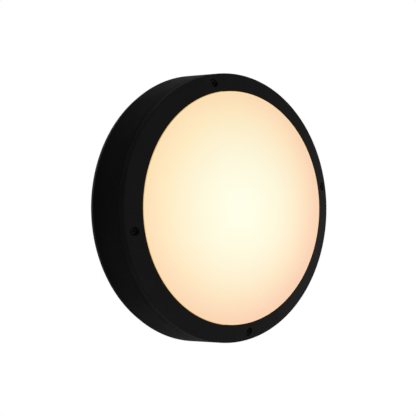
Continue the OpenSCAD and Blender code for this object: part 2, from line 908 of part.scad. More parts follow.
module gear_tray() {
    color([0.95, 0.95, 0.95])
        stand()
            difference() {
                rotate_extrude()
                    polygon([
                        [0, tray_z],
                        [tray_r, tray_z],
                        [tray_r, tray_z + tray_rim_h],
                        [tray_r - tray_t, tray_z + tray_rim_h],
                        [tray_r - tray_t, tray_top_z],
                        [0, tray_top_z],
                    ]);
                at_posts()
                    translate([0, 0, tray_z - over])
                        cylinder(r = pan_screw_d / 2 + pass_gap, h = tray_t + 2 * over);
                around(3, board_screw_r, 30)
                    translate([0, 0, tray_z - over])
                        cylinder(r = small_tap_r, h = tray_t + 2 * over);
                translate([lead_hole_x, 0, tray_z - over])
                    cylinder(d = lead_hole_d, h = tray_t + 2 * over);
            }
}

module tray_screws() {
    color([0.75, 0.75, 0.77])
        stand()
            at_posts()
                translate([0, 0, tray_top_z])
                    pan_screw(pan_screw_d, pan_screw_len, pan_head_d, pan_head_h);
}

module tray_lead_grommet() {
    color([0.1, 0.1, 0.1])
        stand()
            translate([lead_hole_x, 0, 0])
                difference() {
                    union() {
                        translate([0, 0, tray_z - over])
                            cylinder(r = lead_hole_d / 2 + over, h = over);
                        translate([0, 0, tray_z - weld])
                            cylinder(r = lead_hole_d / 2 - groove_gap, h = tray_t + 2 * weld);
                        translate([0, 0, tray_top_z])
                            cylinder(r = lead_hole_d / 2 + over, h = over);
                    }
                    for (side = [-1, 1])
                        translate([0, side * lead_pitch / 2, tray_z - 2 * over])
                            cylinder(r = lead_hole_r, h = tray_t + 4 * over);
                }
}

module led_board() {
    color([0.96, 0.96, 0.94])
        stand()
            difference() {
                collar(board_r, board_hole_r, tray_top_z, led_board_t);
                around(3, board_screw_r, 30)
                    translate([0, 0, tray_top_z - over])
                        cylinder(r = small_screw_d / 2 + pass_gap, h = led_board_t + 2 * over);
            }
}

module led_chips() {
    color([0.98, 0.85, 0.4])
        stand() {
            around(inner_leds, inner_led_r, 180 / inner_leds)
                block(chip_w, chip_l, chip_h, board_top_z);
            around(outer_leds, outer_led_r, 180 / outer_leds)
                block(chip_w, chip_l, chip_h, board_top_z);
        }
}

module led_board_connector() {
    color([0.95, 0.95, 0.95])
        stand()
            translate([plug_x, 0, 0])
                jack(plug_l, plug_w, plug_h, plug_pitch, board_top_z);
}

module led_board_screws() {
    color([0.75, 0.75, 0.77])
        stand()
            around(3, board_screw_r, 30)
                translate([0, 0, board_top_z])
                    pan_screw(small_screw_d, board_screw_len, small_head_d, small_head_h);
}

module live_lead() {
    color([0.45, 0.25, 0.12])
        stand()
            lead([-way_pitch, term_in_y, tunnel_z], [0, 1, 0], live_route,
                [-jack_in_x, driver_y + jack_pitch / 2, jack_z], [-1, 0, 0]);
}

module neutral_lead() {
    color([0.15, 0.35, 0.75])
        stand()
            lead([0, term_in_y, tunnel_z], [0, 1, 0], neutral_route,
                [-jack_in_x, driver_y - jack_pitch / 2, jack_z], [-1, 0, 0]);
}

module earth_lead() {
    color([0.3, 0.65, 0.2])
        stand()
            lead([way_pitch, term_in_y, tunnel_z], [0, 1, 0], earth_route,
                [earth_x, barrel_in_y, barrel_z], [0, 1, 0]);
}

module led_plus_lead() {
    color([0.75, 0.12, 0.1])
        stand()
            lead([jack_in_x, driver_y + jack_pitch / 2, jack_z], [1, 0, 0],
                concat(plus_route, led_rise(-1)),
                [plug_in_x, -plug_pitch / 2, plug_z], [-1, 0, 0]);
}

module led_minus_lead() {
    color([0.1, 0.1, 0.12])
        stand()
            lead([jack_in_x, driver_y - jack_pitch / 2, jack_z], [1, 0, 0],
                concat(minus_route, led_rise(1)),
                [plug_in_x, plug_pitch / 2, plug_z], [-1, 0, 0]);
}

// The last part of an LED lead, straight up through the grommet and over to the board
function led_rise(side) = [
    for (at = [[0, tray_z - 4], [0, tray_z - 1.5], [0, tray_top_z + 1.5], [0, plug_z], [4, plug_z + 1.6]])
        [lead_hole_x + at[0], side * lead_pitch / 2, at[1]]
];

module diffuser_gasket() {
    color([0.8, 0.8, 0.78])
        stand()
            collar(gasket_r + gasket_w / 2, gasket_r - gasket_w / 2,
                housing_h - groove_depth, gasket_h);
}

// Outline of the diffuser: a shallow dome, a skirt behind the ring's lip and a flange
module diffuser_section() {
    difference() {
        union() {
            intersection() {
                translate([0, dome_z])
                    circle(r = dome_r);
                polygon([
                    [0, flange_z],
                    [lens_r, flange_z],
                    [lens_r, front_z - lens_bevel],
                    [lens_r - lens_bevel, front_z],
                    [lens_r - lens_bevel, front_z + dome_h + over],
                    [0, front_z + dome_h + over],
                ]);
            }
            translate([lens_r - lens_t, flange_z])
                square([flange_r - lens_r + lens_t, flange_t]);
        }
        intersection() {
            translate([0, dome_z])
                circle(r = dome_r - lens_t);
            translate([-over, flange_z - over])
                square([lens_r - lens_t + over, front_z + dome_h]);
        }
    }
}

module diffuser() {
    color([0.97, 0.95, 0.9])
        stand()
            difference() {
                rotate_extrude()
                    diffuser_section();
                // The flange clears the ring's pillars
                at_cover_screws()
                    translate([0, 0, flange_z - over])
                        cylinder(r = pillar_r + lens_gap, h = flange_t + 2 * over);
            }
}

// Outline of the ring's outer faces, filled back to the shelf
module ring_envelope() {
    turn = 90 - slope_turn;
    crease_x = body_r - crease_r;
    crease_y = crease_z - crease_r * tan((90 - slope_turn) / 2);
    lip_y = front_z - lip_r * tan((90 + slope_turn) / 2);
    polygon(concat(
        [[opening_r, housing_h], [body_r - seam_cut, housing_h], [body_r, housing_h + seam_cut]],
        rounded(crease_x, crease_y, crease_r, 0, turn),
        rounded(opening_r + lip_r, lip_y, lip_r, turn, 180)
    ));
}

module ring_section() {
    difference() {
        ring_envelope();
        // Channel between the band and the inner wall
        polygon([
            [opening_r + ring_inner_t, housing_h - over],
            [body_r - ring_t, housing_h - over],
            [body_r - ring_t, crease_z + slope_h * ring_t / face_w - slope_under],
            [opening_r + ring_inner_t, front_z - slope_h * ring_inner_t / face_w - slope_under],
        ]);
        // Room for the diffuser's flange under the inner wall
        translate([opening_r - over, housing_h - over])
            square([ring_inner_t + 2 * over, flange_top_z - housing_h + over]);
    }
}

module ring_pillars() {
    intersection() {
        at_cover_screws()
            cylinder(r = pillar_r, h = front_z);
        rotate_extrude()
            ring_envelope();
    }
}

module ring_ribs() {
    rib_z = flange_top_z + over;
    intersection() {
        for (i = [0 : ring_rib_count - 1])
            rotate(screw_turn + i * 360 / ring_rib_count)
                translate([opening_r + over, -ring_rib_t / 2, rib_z])
                    cube([face_w - 2 * over, ring_rib_t, front_z - rib_z]);
        rotate_extrude()
            ring_envelope();
    }
}

module cover_ring() {
    color([0.1, 0.1, 0.1])
        stand()
            difference() {
                union() {
                    rotate_extrude()
                        ring_section();
                    ring_pillars();
                    ring_ribs();
                }
                at_cover_screws() {
                    translate([0, 0, housing_h - over])
                        cylinder(r = screw_d / 2 + pass_gap, h = front_z);
                    translate([0, 0, seat_z])
                        cylinder(r = recess_r, h = front_z);
                }
                rotate(drain_turn)
                    translate([skirt_in_r - over, -drain_w / 2, housing_h - over])
                        cube([skirt_t + 2 * over, drain_w, drain_h + over]);
            }
}

module cover_screw_washers() {
    color([0.12, 0.12, 0.12])
        stand()
            at_cover_screws()
                collar(washer_d / 2, screw_d / 2 + pass_gap, seat_z, washer_t);
}

module cover_screws() {
    color([0.07, 0.07, 0.07])
        stand()
            at_cover_screws()
                translate([0, 0, cover_screw_z])
                    difference() {
                        union() {
                            cylinder(d = head_d, h = head_h - over / 2);
                            translate([0, 0, head_h - over / 2])
                                cylinder(d1 = head_d, d2 = head_d - over, h = over / 2);
                            translate([0, 0, -screw_len])
                                cylinder(d = screw_d, h = screw_len + weld);
                        }
                        translate([0, 0, head_h - hex_depth])
                            cylinder(d = hex_w / cos(30), h = head_h, $fn = 6);
                    }
}

base_housing();
wall_gasket();
fixing_seals();
cable_grommet();
blanking_grommet();
terminal_block();
terminal_clamps();
terminal_clamp_screws();
terminal_block_screws();
earth_lug();
earth_spring_washer();
earth_screw();
driver_case();
driver_circuit_board();
driver_transformer();
driver_capacitors();
driver_input_connector();
driver_output_connector();
driver_lid();
driver_screws();
gear_tray();
tray_screws();
tray_lead_grommet();
led_board();
led_chips();
led_board_connector();
led_board_screws();
live_lead();
neutral_lead();
earth_lead();
led_plus_lead();
led_minus_lead();
diffuser_gasket();
diffuser();
cover_ring();
cover_screw_washers();
cover_screws();
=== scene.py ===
"""A round outdoor wall light: black cast housing, black cover ring, warm-lit opal diffuser."""
import json
import math

import bmesh
import bpy
from mathutils import Matrix, Vector


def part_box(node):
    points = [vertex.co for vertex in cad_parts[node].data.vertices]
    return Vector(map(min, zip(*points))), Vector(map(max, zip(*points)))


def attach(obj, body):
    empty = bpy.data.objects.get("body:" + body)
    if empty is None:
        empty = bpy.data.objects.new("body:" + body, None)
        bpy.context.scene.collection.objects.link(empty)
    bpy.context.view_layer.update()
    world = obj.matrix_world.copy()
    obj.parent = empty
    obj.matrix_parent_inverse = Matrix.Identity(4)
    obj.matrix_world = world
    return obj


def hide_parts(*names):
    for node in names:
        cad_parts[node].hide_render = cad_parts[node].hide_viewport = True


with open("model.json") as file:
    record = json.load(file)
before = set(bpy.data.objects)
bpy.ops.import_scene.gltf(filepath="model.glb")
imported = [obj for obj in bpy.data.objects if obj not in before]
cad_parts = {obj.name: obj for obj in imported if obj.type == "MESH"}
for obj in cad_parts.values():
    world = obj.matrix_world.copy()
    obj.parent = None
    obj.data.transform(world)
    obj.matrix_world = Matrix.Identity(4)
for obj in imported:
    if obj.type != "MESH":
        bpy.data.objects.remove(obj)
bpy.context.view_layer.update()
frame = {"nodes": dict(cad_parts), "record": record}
scene = bpy.context.scene
scene.view_settings.view_transform = "Standard"

MM = 0.001

# Camera: where it stands as seen from the light's front, in metres, with its lens in millimetres
CAMERA_TURN = math.radians(-40.69)
CAMERA_RISE = math.radians(-0.59)
CAMERA_DISTANCE = 2.5
CAMERA_ASIDE = 0.01622
CAMERA_UP = 0.00058
CAMERA_LENS = 190.85
SENSOR_W = 36

# Lamps: name, place in metres, width in metres and power in watts
LAMPS = [
    ("key", (0.8, -2.5, 0.15), 1.8, 30),
    ("top", (0.2, -0.6, 2.4), 1.4, 0.3),
    ("low", (-0.8, -1.2, -0.8), 0.8, 4.4),
    ("side", (2.4, 0.15, -0.5), 1.0, 12),
    ("back", (0.5, 2.3, 0.5), 1.4, 22),
]

# How bright the surroundings are as light, where 1 is the white that the camera sees
WORLD_LEVEL = 0.25

# Floor under the light, in millimetres, and how much it is brightened for the camera
FLOOR_R = 6700
FLOOR_T = 10
FLOOR_DROP = 1000
FLOOR_LIFT = 0.65


def reach(node):
    """How far a CAD node reaches to the right and outwards, in millimetres."""
    low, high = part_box(node)
    return high.x / MM, -low.y / MM


# From here on sizes are in millimetres, and a depth is measured from the wall outwards. A name that ends
# in _CIRCLE is a count, a radius and the first turn, in degrees anticlockwise from the right.

# Housing
BODY_R, SEAM_DEPTH = reach("base_housing")
SKIRT_R = 144.4
WALL_DRAW = 3
WALL_DRAW_DEPTH = 7.5
PAN_R = 125.5
PAN_OUT_R = 128.5
PAN_CORNER = 3
SHELF_DEPTH = 46.2
BACK_T = 4
SEAM_CUT = 0.5
RIB_CIRCLE = (20, 0, 10.6)
RIB_H = 26
RIB_T = 2.4
BOSS_R = 5.5
BOSS_H = 17

# Cover ring
CREASE_DEPTH = 61
FRONT_DEPTH = reach("cover_ring")[1]
ABOVE_RING = 72
OPENING_R = 130
RING_T = 3.2
RING_INNER_R = 132.6
UNDERSIDE_AT_INNER = 65.80
UNDERSIDE_AT_BAND = 58.99
BRACE_CIRCLE = (16, 0, 10.6)
BRACE_T = 2
BRACE_SINK = 1
BRACE_SINK_BAND = 1.4
PILLAR_R = 6.6
DRAIN_CIRCLE = (1, 0, 261)
DRAIN_W = 5
DRAIN_H = 2

# Cover screws in their recesses
SCREW_CIRCLE = (4, 140.3, 10.6)
SEAT_DEPTH = 58.656
WASHER_R = 4.5
WASHER_T = 0.8
RECESS_R = 4.7
RECESS_EDGE = 0.35
PASS_R = 2.25

# Diffuser, its gasket and the foam strip
FLANGE_R, DOME_DEPTH = reach("diffuser")
HAIR = 0.001
LENS_R = OPENING_R - 0.4
LENS_T = 2.8
FLANGE_DEPTH = 51.8
FLANGE_TOP = 54.3
FLANGE_CLEAR = 0.4
GASKET_R = 130.6
GASKET_HALF = 2
GROOVE_DEPTH = 2.5
FOAM_IN_R = 118.4
FOAM_OUT_R = 124.4
FOAM_T = 2
FIT_GAP = 0.1

# Wall fixing holes with their seals, and cable entries with their grommets
FIX_CIRCLE = (3, 104, 90)
FIX_R = 2.75
SEAL_R = 6
SEAL_IN_R = 3
SEAL_BACK = 3
SEAL_FRONT = 5
ENTRY_X = 42
GROMMET_R = 13
NECK_R = 9.9
CABLE_R = 5
NOSE_BASE_R = 9
NOSE_R = 7
GROMMET_BACK = 0.3
ENTRY_SINK = 2.1
GROMMET_STEP = 5.8
NOSE_DEPTH = 9.8
WEB_DEPTH = 8.3

# Gear tray, LED board and LEDs
POST_CIRCLE = (4, 108, 45)
POST_R = 5
TRAY_T = 1
TRAY_TOP = 34
BOARD_TOP = 35.6
BOARD_SCREW_CIRCLE = (3, 66, 30)
LED_CIRCLES = [(12, 50, 15), (20, 82, 9)]
LED_L = 3.5
LED_W = 2.8
LED_H = 0.8
LED_EDGE = 0.12
LED_RECESS = 0.25
LED_RECESS_R = 1.15
LED_WINDOW_R = 1.1

# Driver, terminal block and earth screw
DRIVER_Z = 50
DRIVER_FOOT_X = 58
DRIVER_FOOT_TOP = 11
DRIVER_BOSS_R = 6
DRIVER_BOSS_H = 4
TERMINAL_PITCH = 10
TERMINAL_Z = -50
TERMINAL_SEAT = 18
PAD_L = 32
PAD_W = 20
PAD_H = 3
EARTH_X = 52
EARTH_Z = -46
EARTH_LUG_TOP = 11.8
EARTH_BOSS_R = 5.2
EARTH_BOSS_H = 6

# Leads, and the bottoms of their holes
LEAD_D = 2.4
LEAD_IN = 6
LEAD_STUB = 3
LEAD_STEPS = 8
LEAD_HOLE_X = 16
LEAD_PITCH = 3.8
TERMINAL_HOLES = [(way * TERMINAL_PITCH, -47, 13) for way in (-1, 0, 1)]
EARTH_HOLE = (EARTH_X, -38.8, 11.9)
DRIVER_HOLE_X = 46
DRIVER_HOLE_ASIDE = 3.25
DRIVER_HOLE_DEPTH = 18.2
PLUG_X = 37
PLUG_ASIDE = 2.25
PLUG_DEPTH = 37.8
LEFT = (-1, 0, 0)
RIGHT = (1, 0, 0)
UPWARDS = (0, 1, 0)

# Screws: threads and lengths under the head
M4 = {"radius": 2, "pitch": 0.7}
M3 = {"radius": 1.5, "pitch": 0.5}
COVER_SCREW_L = 20
M4_PAN_L = 8
TERMINAL_SCREW_L = 16
BOARD_SCREW_L = 4
THREAD_SHARE = 0.54
THREAD_GAP = 0.05
TIP_GAP = 0.6

# Radii of the rounded edges on castings
CAST_EDGE = 0.8
FINE_EDGE = 0.3
SHELF_EDGE = 1.5

# How far a joined piece reaches into another, and how far a cutting tool reaches past what it cuts
BITE = 0.5
OVER = 1

# Sides of round forms, the distance at which points are welded, and the angle past which an edge is sharp
TURNED_SIDES = 240
GROMMET_SIDES = 96
HEAD_SIDES = 64
SMALL_SIDES = 48
LED_SIDES = 24
FLOOR_SIDES = 96
WELD = 0.002
SHARP_ANGLE = math.radians(35)


def polar(radius, turn):
    """Sideways and upwards places of a point at a radius and a turn."""
    return radius * math.cos(math.radians(turn)), radius * math.sin(math.radians(turn))


def in_a_circle(count, radius, first_turn):
    """Places spread evenly round the axis."""
    return [polar(radius, first_turn + i * 360 / count) for i in range(count)]


SCREW_PLACES = in_a_circle(*SCREW_CIRCLE)
POST_PLACES = in_a_circle(*POST_CIRCLE)
FIX_PLACES = in_a_circle(*FIX_CIRCLE)
DRIVER_PLACES = [(side * DRIVER_FOOT_X, DRIVER_Z) for side in (1, -1)]
TERMINAL_PLACES = [(side * TERMINAL_PITCH / 2, TERMINAL_Z) for side in (1, -1)]
EARTH_PLACES = [(EARTH_X, EARTH_Z)]


# Node trees: a few words for adding nodes and named sockets

def named_tree(name, kind, inputs, outputs):
    """A new node tree with its named inputs and outputs, and its two end nodes."""
    tree = bpy.data.node_groups.new(name, kind)
    for label, socket, value in inputs:
        made = tree.interface.new_socket(label, in_out="INPUT", socket_type="NodeSocket" + socket)
        if value is not None:
            made.default_value = value
    for label, socket in outputs:
        tree.interface.new_socket(label, in_out="OUTPUT", socket_type="NodeSocket" + socket)
    return tree, tree.nodes.new("NodeGroupInput").outputs, tree.nodes.new("NodeGroupOutput").inputs


def add(tree, kind, inputs=None, **settings):
    """A new node with its settings, each input set to a value or linked to a socket."""
    node = tree.nodes.new(kind)
    for name, value in settings.items():
        setattr(node, name, value)
    for key, value in (inputs or {}).items():
        if isinstance(value, bpy.types.NodeSocket):
            tree.links.new(value, node.inputs[key])
        else:
            node.inputs[key].default_value = value
    return node


def calc(tree, operation, a, b=0.0, c=0.0, clamp=False):
    """The result of one step of arithmetic."""
    inputs = {0: a, 1: b, 2: c}
    return add(tree, "ShaderNodeMath", inputs, operation=operation, use_clamp=clamp).outputs[0]


def times(tree, a, b, clamp=False):
    """The product of two numbers."""
    return calc(tree, "MULTIPLY", a, b, clamp=clamp)


def hypotenuse(tree, a, b):
    """The long side of a right-angled triangle with the short sides a and b."""
    return calc(tree, "SQRT", calc(tree, "ADD", times(tree, a, a), times(tree, b, b)))


def mixed(tree, share, first, second, blend_type="MIX"):
    """The first colour with a share of the second."""
    return add(tree, "ShaderNodeMix", {0: share, 6: first, 7: second},
               data_type="RGBA", blend_type=blend_type).outputs[2]


def noise(tree, where, scale, detail, roughness):
    """Soft noise between 0 and 1, mostly near the middle."""
    return add(tree, "ShaderNodeTexNoise",
               {"Vector": where, "Scale": scale, "Detail": detail, "Roughness": roughness}).outputs[0]


def place_on_object(tree):
    """A surface point's place on its object."""
    return add(tree, "ShaderNodeTexCoord").outputs["Object"]


def parts(tree, vector):
    """The three parts of a vector."""
    return add(tree, "ShaderNodeSeparateXYZ", {0: vector}).outputs


def point_round_axis(tree, radius, turn, depth):
    """A point at a radius and a turn round the light's axis, at a depth."""
    x = times(tree, radius, calc(tree, "COSINE", turn))
    z = times(tree, radius, calc(tree, "SINE", turn))
    return add(tree, "ShaderNodeCombineXYZ", {0: x, 1: times(tree, depth, -1.0), 2: z}).outputs[0]


def numbered_grid(tree, rows, sides):
    """A grid to be bent into shape, with each point's row and its share of a full turn."""
    columns = calc(tree, "ADD", sides, 1.0)
    grid = add(tree, "GeometryNodeMeshGrid", {"Vertices X": rows, "Vertices Y": columns})
    index = add(tree, "GeometryNodeInputIndex").outputs[0]
    row = calc(tree, "FLOOR", calc(tree, "DIVIDE", calc(tree, "ADD", index, 0.5), columns))
    column = calc(tree, "SUBTRACT", index, times(tree, row, columns))
    return grid.outputs["Mesh"], row, calc(tree, "DIVIDE", column, sides)


def bent_grid(tree, grid, point):
    """The grid with its points moved, its seam welded and its ends on the axis closed."""
    moved = add(tree, "GeometryNodeSetPosition", {"Geometry": grid, "Position": point})
    return add(tree, "GeometryNodeMergeByDistance",
               {"Geometry": moved.outputs[0], "Distance": WELD * MM}).outputs[0]


def geometry_tree(name, *inputs):
    """A new tree of geometry nodes, with its own inputs and one for the material."""
    return named_tree(name, "GeometryNodeTree", [*inputs, ("Material", "Material", None)],
                      [("Geometry", "Geometry")])


def close_tree(tree, geometry, size, result):
    """Ends a tree with a plain mesh in its material."""
    real = add(tree, "GeometryNodeRealizeInstances", {0: geometry})
    painted = add(tree, "GeometryNodeSetMaterial",
                  {"Geometry": real.outputs[0], "Material": size["Material"]})
    tree.links.new(painted.outputs[0], result["Geometry"])
    return tree


def turned_form_tree():
    """Turns an outline of radius and depth round the light's axis."""
    tree, size, result = geometry_tree(
        "turned form", ("Outline", "Geometry", None), ("Sides", "Int", TURNED_SIDES))
    counted = add(tree, "GeometryNodeAttributeDomainSize", {"Geometry": size["Outline"]})
    corners = counted.outputs["Point Count"]
    grid, row, share = numbered_grid(tree, calc(tree, "ADD", corners, 1.0), size["Sides"])
    on_outline = calc(tree, "MODULO", calc(tree, "ADD", row, 0.25), corners)
    place = add(tree, "GeometryNodeInputPosition").outputs[0]
    corner = add(tree, "GeometryNodeSampleIndex",
                 {"Geometry": size["Outline"], "Value": place, "Index": on_outline},
                 data_type="FLOAT_VECTOR").outputs[0]
    corner = parts(tree, corner)
    point = point_round_axis(tree, corner[0], times(tree, share, math.tau), corner[1])
    return close_tree(tree, bent_grid(tree, grid, point), size, result)


def threaded_shank_tree():
    """A screw's shank with its helical thread, from its tip up to the origin."""
    tree, size, result = geometry_tree(
        "threaded shank", ("Length", "Float", 0.02), ("Radius", "Float", 0.002),
        ("Pitch", "Float", 0.0007), ("Thread Depth", "Float", 0.0003), ("Rows per Pitch", "Int", 6),
        ("Sides", "Int", 24))
    pitches = calc(tree, "DIVIDE", size["Length"], size["Pitch"])
    steps = calc(tree, "CEIL", times(tree, pitches, size["Rows per Pitch"]))
    grid, row, share = numbered_grid(tree, calc(tree, "ADD", steps, 3.0), size["Sides"])
    along = calc(tree, "DIVIDE", calc(tree, "SUBTRACT", row, 1.0), steps, clamp=True)
    phase = calc(tree, "FRACT", calc(tree, "SUBTRACT", times(tree, along, pitches), share))
    hollow = calc(tree, "ABSOLUTE", calc(tree, "MULTIPLY_ADD", phase, 2.0, -1.0))
    crest = calc(tree, "SUBTRACT", size["Radius"], times(tree, hollow, size["Thread Depth"]))
    # The tip narrows to three quarters of the shank over half a radius
    from_tip = times(tree, along, calc(tree, "DIVIDE", size["Length"], size["Radius"]))
    taper = calc(tree, "MULTIPLY_ADD", times(tree, from_tip, 2.0, clamp=True), 0.25, 0.75)
    # The first and the last row lie on the axis, so both ends are closed
    at_tip = calc(tree, "LESS_THAN", row, 0.5)
    at_head = calc(tree, "GREATER_THAN", row, calc(tree, "ADD", steps, 1.5))
    shown = calc(tree, "SUBTRACT", 1.0, calc(tree, "ADD", at_tip, at_head))
    radius = times(tree, times(tree, crest, taper), shown)
    depth = times(tree, calc(tree, "SUBTRACT", along, 1.0), size["Length"])
    point = point_round_axis(tree, radius, times(tree, share, math.tau), depth)
    return close_tree(tree, bent_grid(tree, grid, point), size, result)


def insulated_lead_tree():
    """A round lead along a route, closed at both ends."""
    tree, size, result = geometry_tree(
        "insulated lead", ("Route", "Geometry", None), ("Diameter", "Float", 0.0024), ("Sides", "Int", 20))
    path = add(tree, "GeometryNodeMeshToCurve", {"Mesh": size["Route"]})
    round_wire = add(tree, "GeometryNodeCurvePrimitiveCircle",
                     {"Resolution": size["Sides"], "Radius": calc(tree, "DIVIDE", size["Diameter"], 2.0)})
    tube = add(tree, "GeometryNodeCurveToMesh",
               {"Curve": path.outputs[0], "Profile Curve": round_wire.outputs[0], "Fill Caps": True})
    return close_tree(tree, tube.outputs[0], size, result)


def copies_round_axis_tree():
    """Sets copies of a piece in a circle round the light's axis, each turned with its place."""
    tree, size, result = geometry_tree(
        "copies round axis", ("Piece", "Geometry", None), ("Count", "Int", 4), ("Radius", "Float", 0.1),
        ("Depth", "Float", 0.0), ("First Turn", "Float", 0.0))
    places = add(tree, "GeometryNodeMeshLine", {"Count": size["Count"]})
    index = add(tree, "GeometryNodeInputIndex").outputs[0]
    step = calc(tree, "DIVIDE", math.tau, size["Count"])
    turn = calc(tree, "ADD", calc(tree, "RADIANS", size["First Turn"]), times(tree, index, step))
    point = point_round_axis(tree, size["Radius"], turn, size["Depth"])
    moved = add(tree, "GeometryNodeSetPosition", {"Geometry": places.outputs[0], "Position": point})
    roll = add(tree, "ShaderNodeCombineXYZ", {1: times(tree, turn, -1.0)}).outputs[0]
    copies = add(tree, "GeometryNodeInstanceOnPoints",
                 {"Points": moved.outputs[0], "Instance": size["Piece"], "Rotation": roll})
    return close_tree(tree, copies.outputs[0], size, result)


TURNED = turned_form_tree()
ROUND_AXIS = copies_round_axis_tree()
THREADED = threaded_shank_tree()
LEAD = insulated_lead_tree()


# Objects and meshes

def in_scene(name, data):
    """An object for a mesh, a camera or a lamp, at the origin of the scene."""
    piece = bpy.data.objects.new(name, data)
    scene.collection.objects.link(piece)
    return piece


def evaluated_mesh(piece):
    """A plain copy of the piece's mesh with its modifiers worked in."""
    graph = bpy.context.evaluated_depsgraph_get()
    return bpy.data.meshes.new_from_object(piece.evaluated_get(graph), depsgraph=graph)


def grown(name, tree, base, slot=None, **values):
    """An object with the plain mesh that a tree makes out of a base mesh."""
    if slot:
        values["Material"] = FINISHES[slot]
    holder = in_scene(name + "_base", base)
    modifier = holder.modifiers.new(tree.name, "NODES")
    modifier.node_group = tree
    for item in tree.interface.items_tree:
        if item.in_out == "INPUT" and item.name in values:
            modifier[item.identifier] = values[item.name]
    plain = evaluated_mesh(holder)
    bpy.data.objects.remove(holder)
    plain.name = name
    return in_scene(name, plain)


def clean(piece):
    """Closes seams and poles, drops loose edges and turns the faces outwards."""
    form = bmesh.new()
    form.from_mesh(piece.data)
    bmesh.ops.remove_doubles(form, verts=form.verts, dist=WELD * MM)
    bmesh.ops.dissolve_degenerate(form, edges=form.edges, dist=WELD / 2 * MM)
    bmesh.ops.delete(form, geom=[e for e in form.edges if not e.link_faces], context="EDGES")
    bmesh.ops.delete(form, geom=[v for v in form.verts if not v.link_faces], context="VERTS")
    bmesh.ops.recalc_face_normals(form, faces=form.faces)
    form.to_mesh(piece.data)
    form.free()


def placed(piece, x=0.0, z=0.0, depth=0.0):
    """Moves the piece's mesh sideways, upwards and outwards."""
    piece.data.transform(Matrix.Translation((x * MM, -depth * MM, z * MM)))
    return piece


def together(name, pieces):
    """One object made of several."""
    form = bmesh.new()
    for piece in pieces:
        form.from_mesh(piece.data)
        bpy.data.objects.remove(piece)
    mesh = bpy.data.meshes.new(name)
    form.to_mesh(mesh)
    form.free()
    return in_scene(name, mesh)


def spare_mesh(piece):
    """The mesh of a piece whose object isn't needed any more."""
    mesh = piece.data
    bpy.data.objects.remove(piece)
    return mesh


def shaped(piece, operation, tool):
    """The piece joined with, cut by or kept inside the tool, which is used up."""
    modifier = piece.modifiers.new("shape", "BOOLEAN")
    modifier.operation = operation
    modifier.solver = "EXACT"
    modifier.use_self = True
    modifier.object = tool
    piece.data = evaluated_mesh(piece)
    piece.modifiers.clear()
    bpy.data.objects.remove(tool)
    clean(piece)
    return piece


def softened(piece, chosen, width, steps=2):
    """Rounds the edges whose two ends are both chosen."""
    form = bmesh.new()
    form.from_mesh(piece.data)
    edges = [e for e in form.edges if all(chosen(v.co / MM) for v in e.verts)]
    bmesh.ops.bevel(form, geom=edges, offset=width * MM, segments=steps, profile=0.5,
                    affect="EDGES", clamp_overlap=True)
    form.to_mesh(piece.data)
    form.free()
    clean(piece)
    return piece


# Turned and flat forms. An outline's corner is a radius, a depth and, where it is rounded, by how much.

def filleted(outline, steps=5):
    """The outline's points, each corner with a third number rounded to that radius."""
    points = []
    for place, corner in enumerate(outline):
        here = Vector(corner[:2])
        if len(corner) < 3:
            points.append(here)
            continue
        inwards = (Vector(outline[place - 1][:2]) - here).normalized()
        onwards = (Vector(outline[(place + 1) % len(outline)][:2]) - here).normalized()
        half = inwards.angle(onwards) / 2
        centre = here + (inwards + onwards).normalized() * corner[2] / math.sin(half)
        first = here + inwards * corner[2] / math.tan(half) - centre
        last = here + onwards * corner[2] / math.tan(half) - centre
        start = math.atan2(first.y, first.x)
        sweep = (math.atan2(last.y, last.x) - start + math.pi) % math.tau - math.pi
        for step in range(steps + 1):
            turn = start + sweep * step / steps
            points.append(centre + corner[2] * Vector((math.cos(turn), math.sin(turn))))
    return points


def outline_mesh(points):
    """A closed loop of edges through the points."""
    mesh = bpy.data.meshes.new("outline")
    count = len(points)
    mesh.from_pydata([(p[0] * MM, p[1] * MM, 0) for p in points],
                     [(i, (i + 1) % count) for i in range(count)], [])
    return mesh


def turned(name, outline, sides=TURNED_SIDES, steps=5, slot=None):
    """A solid of revolution about the light's axis, closed and facing outwards."""
    piece = grown(name, TURNED, outline_mesh(filleted(outline, steps)), slot, Sides=sides)
    clean(piece)
    return piece


def peg(radius, low, high, x=0.0, z=0.0, sides=SMALL_SIDES):
    """A round peg from one depth to another, beside the axis."""
    return placed(turned("peg", [(0, low), (radius, low), (radius, high), (0, high)], sides), x, z)


def pegs(radius, low, high, places):
    """Round pegs at places beside the axis."""
    return [peg(radius, low, high, x, z) for x, z in places]


def stepped_peg(radius, low, step, upper_radius, high, x=0.0, z=0.0, sides=SMALL_SIDES):
    """A round peg that changes its radius at a step, beside the axis."""
    outline = [(0, low), (radius, low), (radius, step), (upper_radius, step), (upper_radius, high), (0, high)]
    return placed(turned("stepped_peg", outline, sides), x, z)


def tapped_holes(thread, length, head_depth, places):
    """Pegs that cut the holes for screws, from the undersides of their heads down."""
    return pegs(thread["radius"] + THREAD_GAP, head_depth - length - TIP_GAP, head_depth, places)


def slab(points, thickness):
    """A flat plate through the axis: points of radius and depth, thick to both sides."""
    form = bmesh.new()
    near = [form.verts.new((r * MM, -d * MM, -thickness / 2 * MM)) for r, d in points]
    far = [form.verts.new((r * MM, -d * MM, thickness / 2 * MM)) for r, d in points]
    count = len(points)
    form.faces.new(near)
    form.faces.new(reversed(far))
    for i in range(count):
        form.faces.new((near[i], far[i], far[(i + 1) % count], near[(i + 1) % count]))
    bmesh.ops.recalc_face_normals(form, faces=form.faces)
    mesh = bpy.data.meshes.new("slab")
    form.to_mesh(mesh)
    form.free()
    return mesh


def bar(inner, outer, low, high, thickness):
    """A rectangular plate through the axis, from one radius and depth to another."""
    return slab([(inner, low), (outer, low), (outer, high), (inner, high)], thickness)


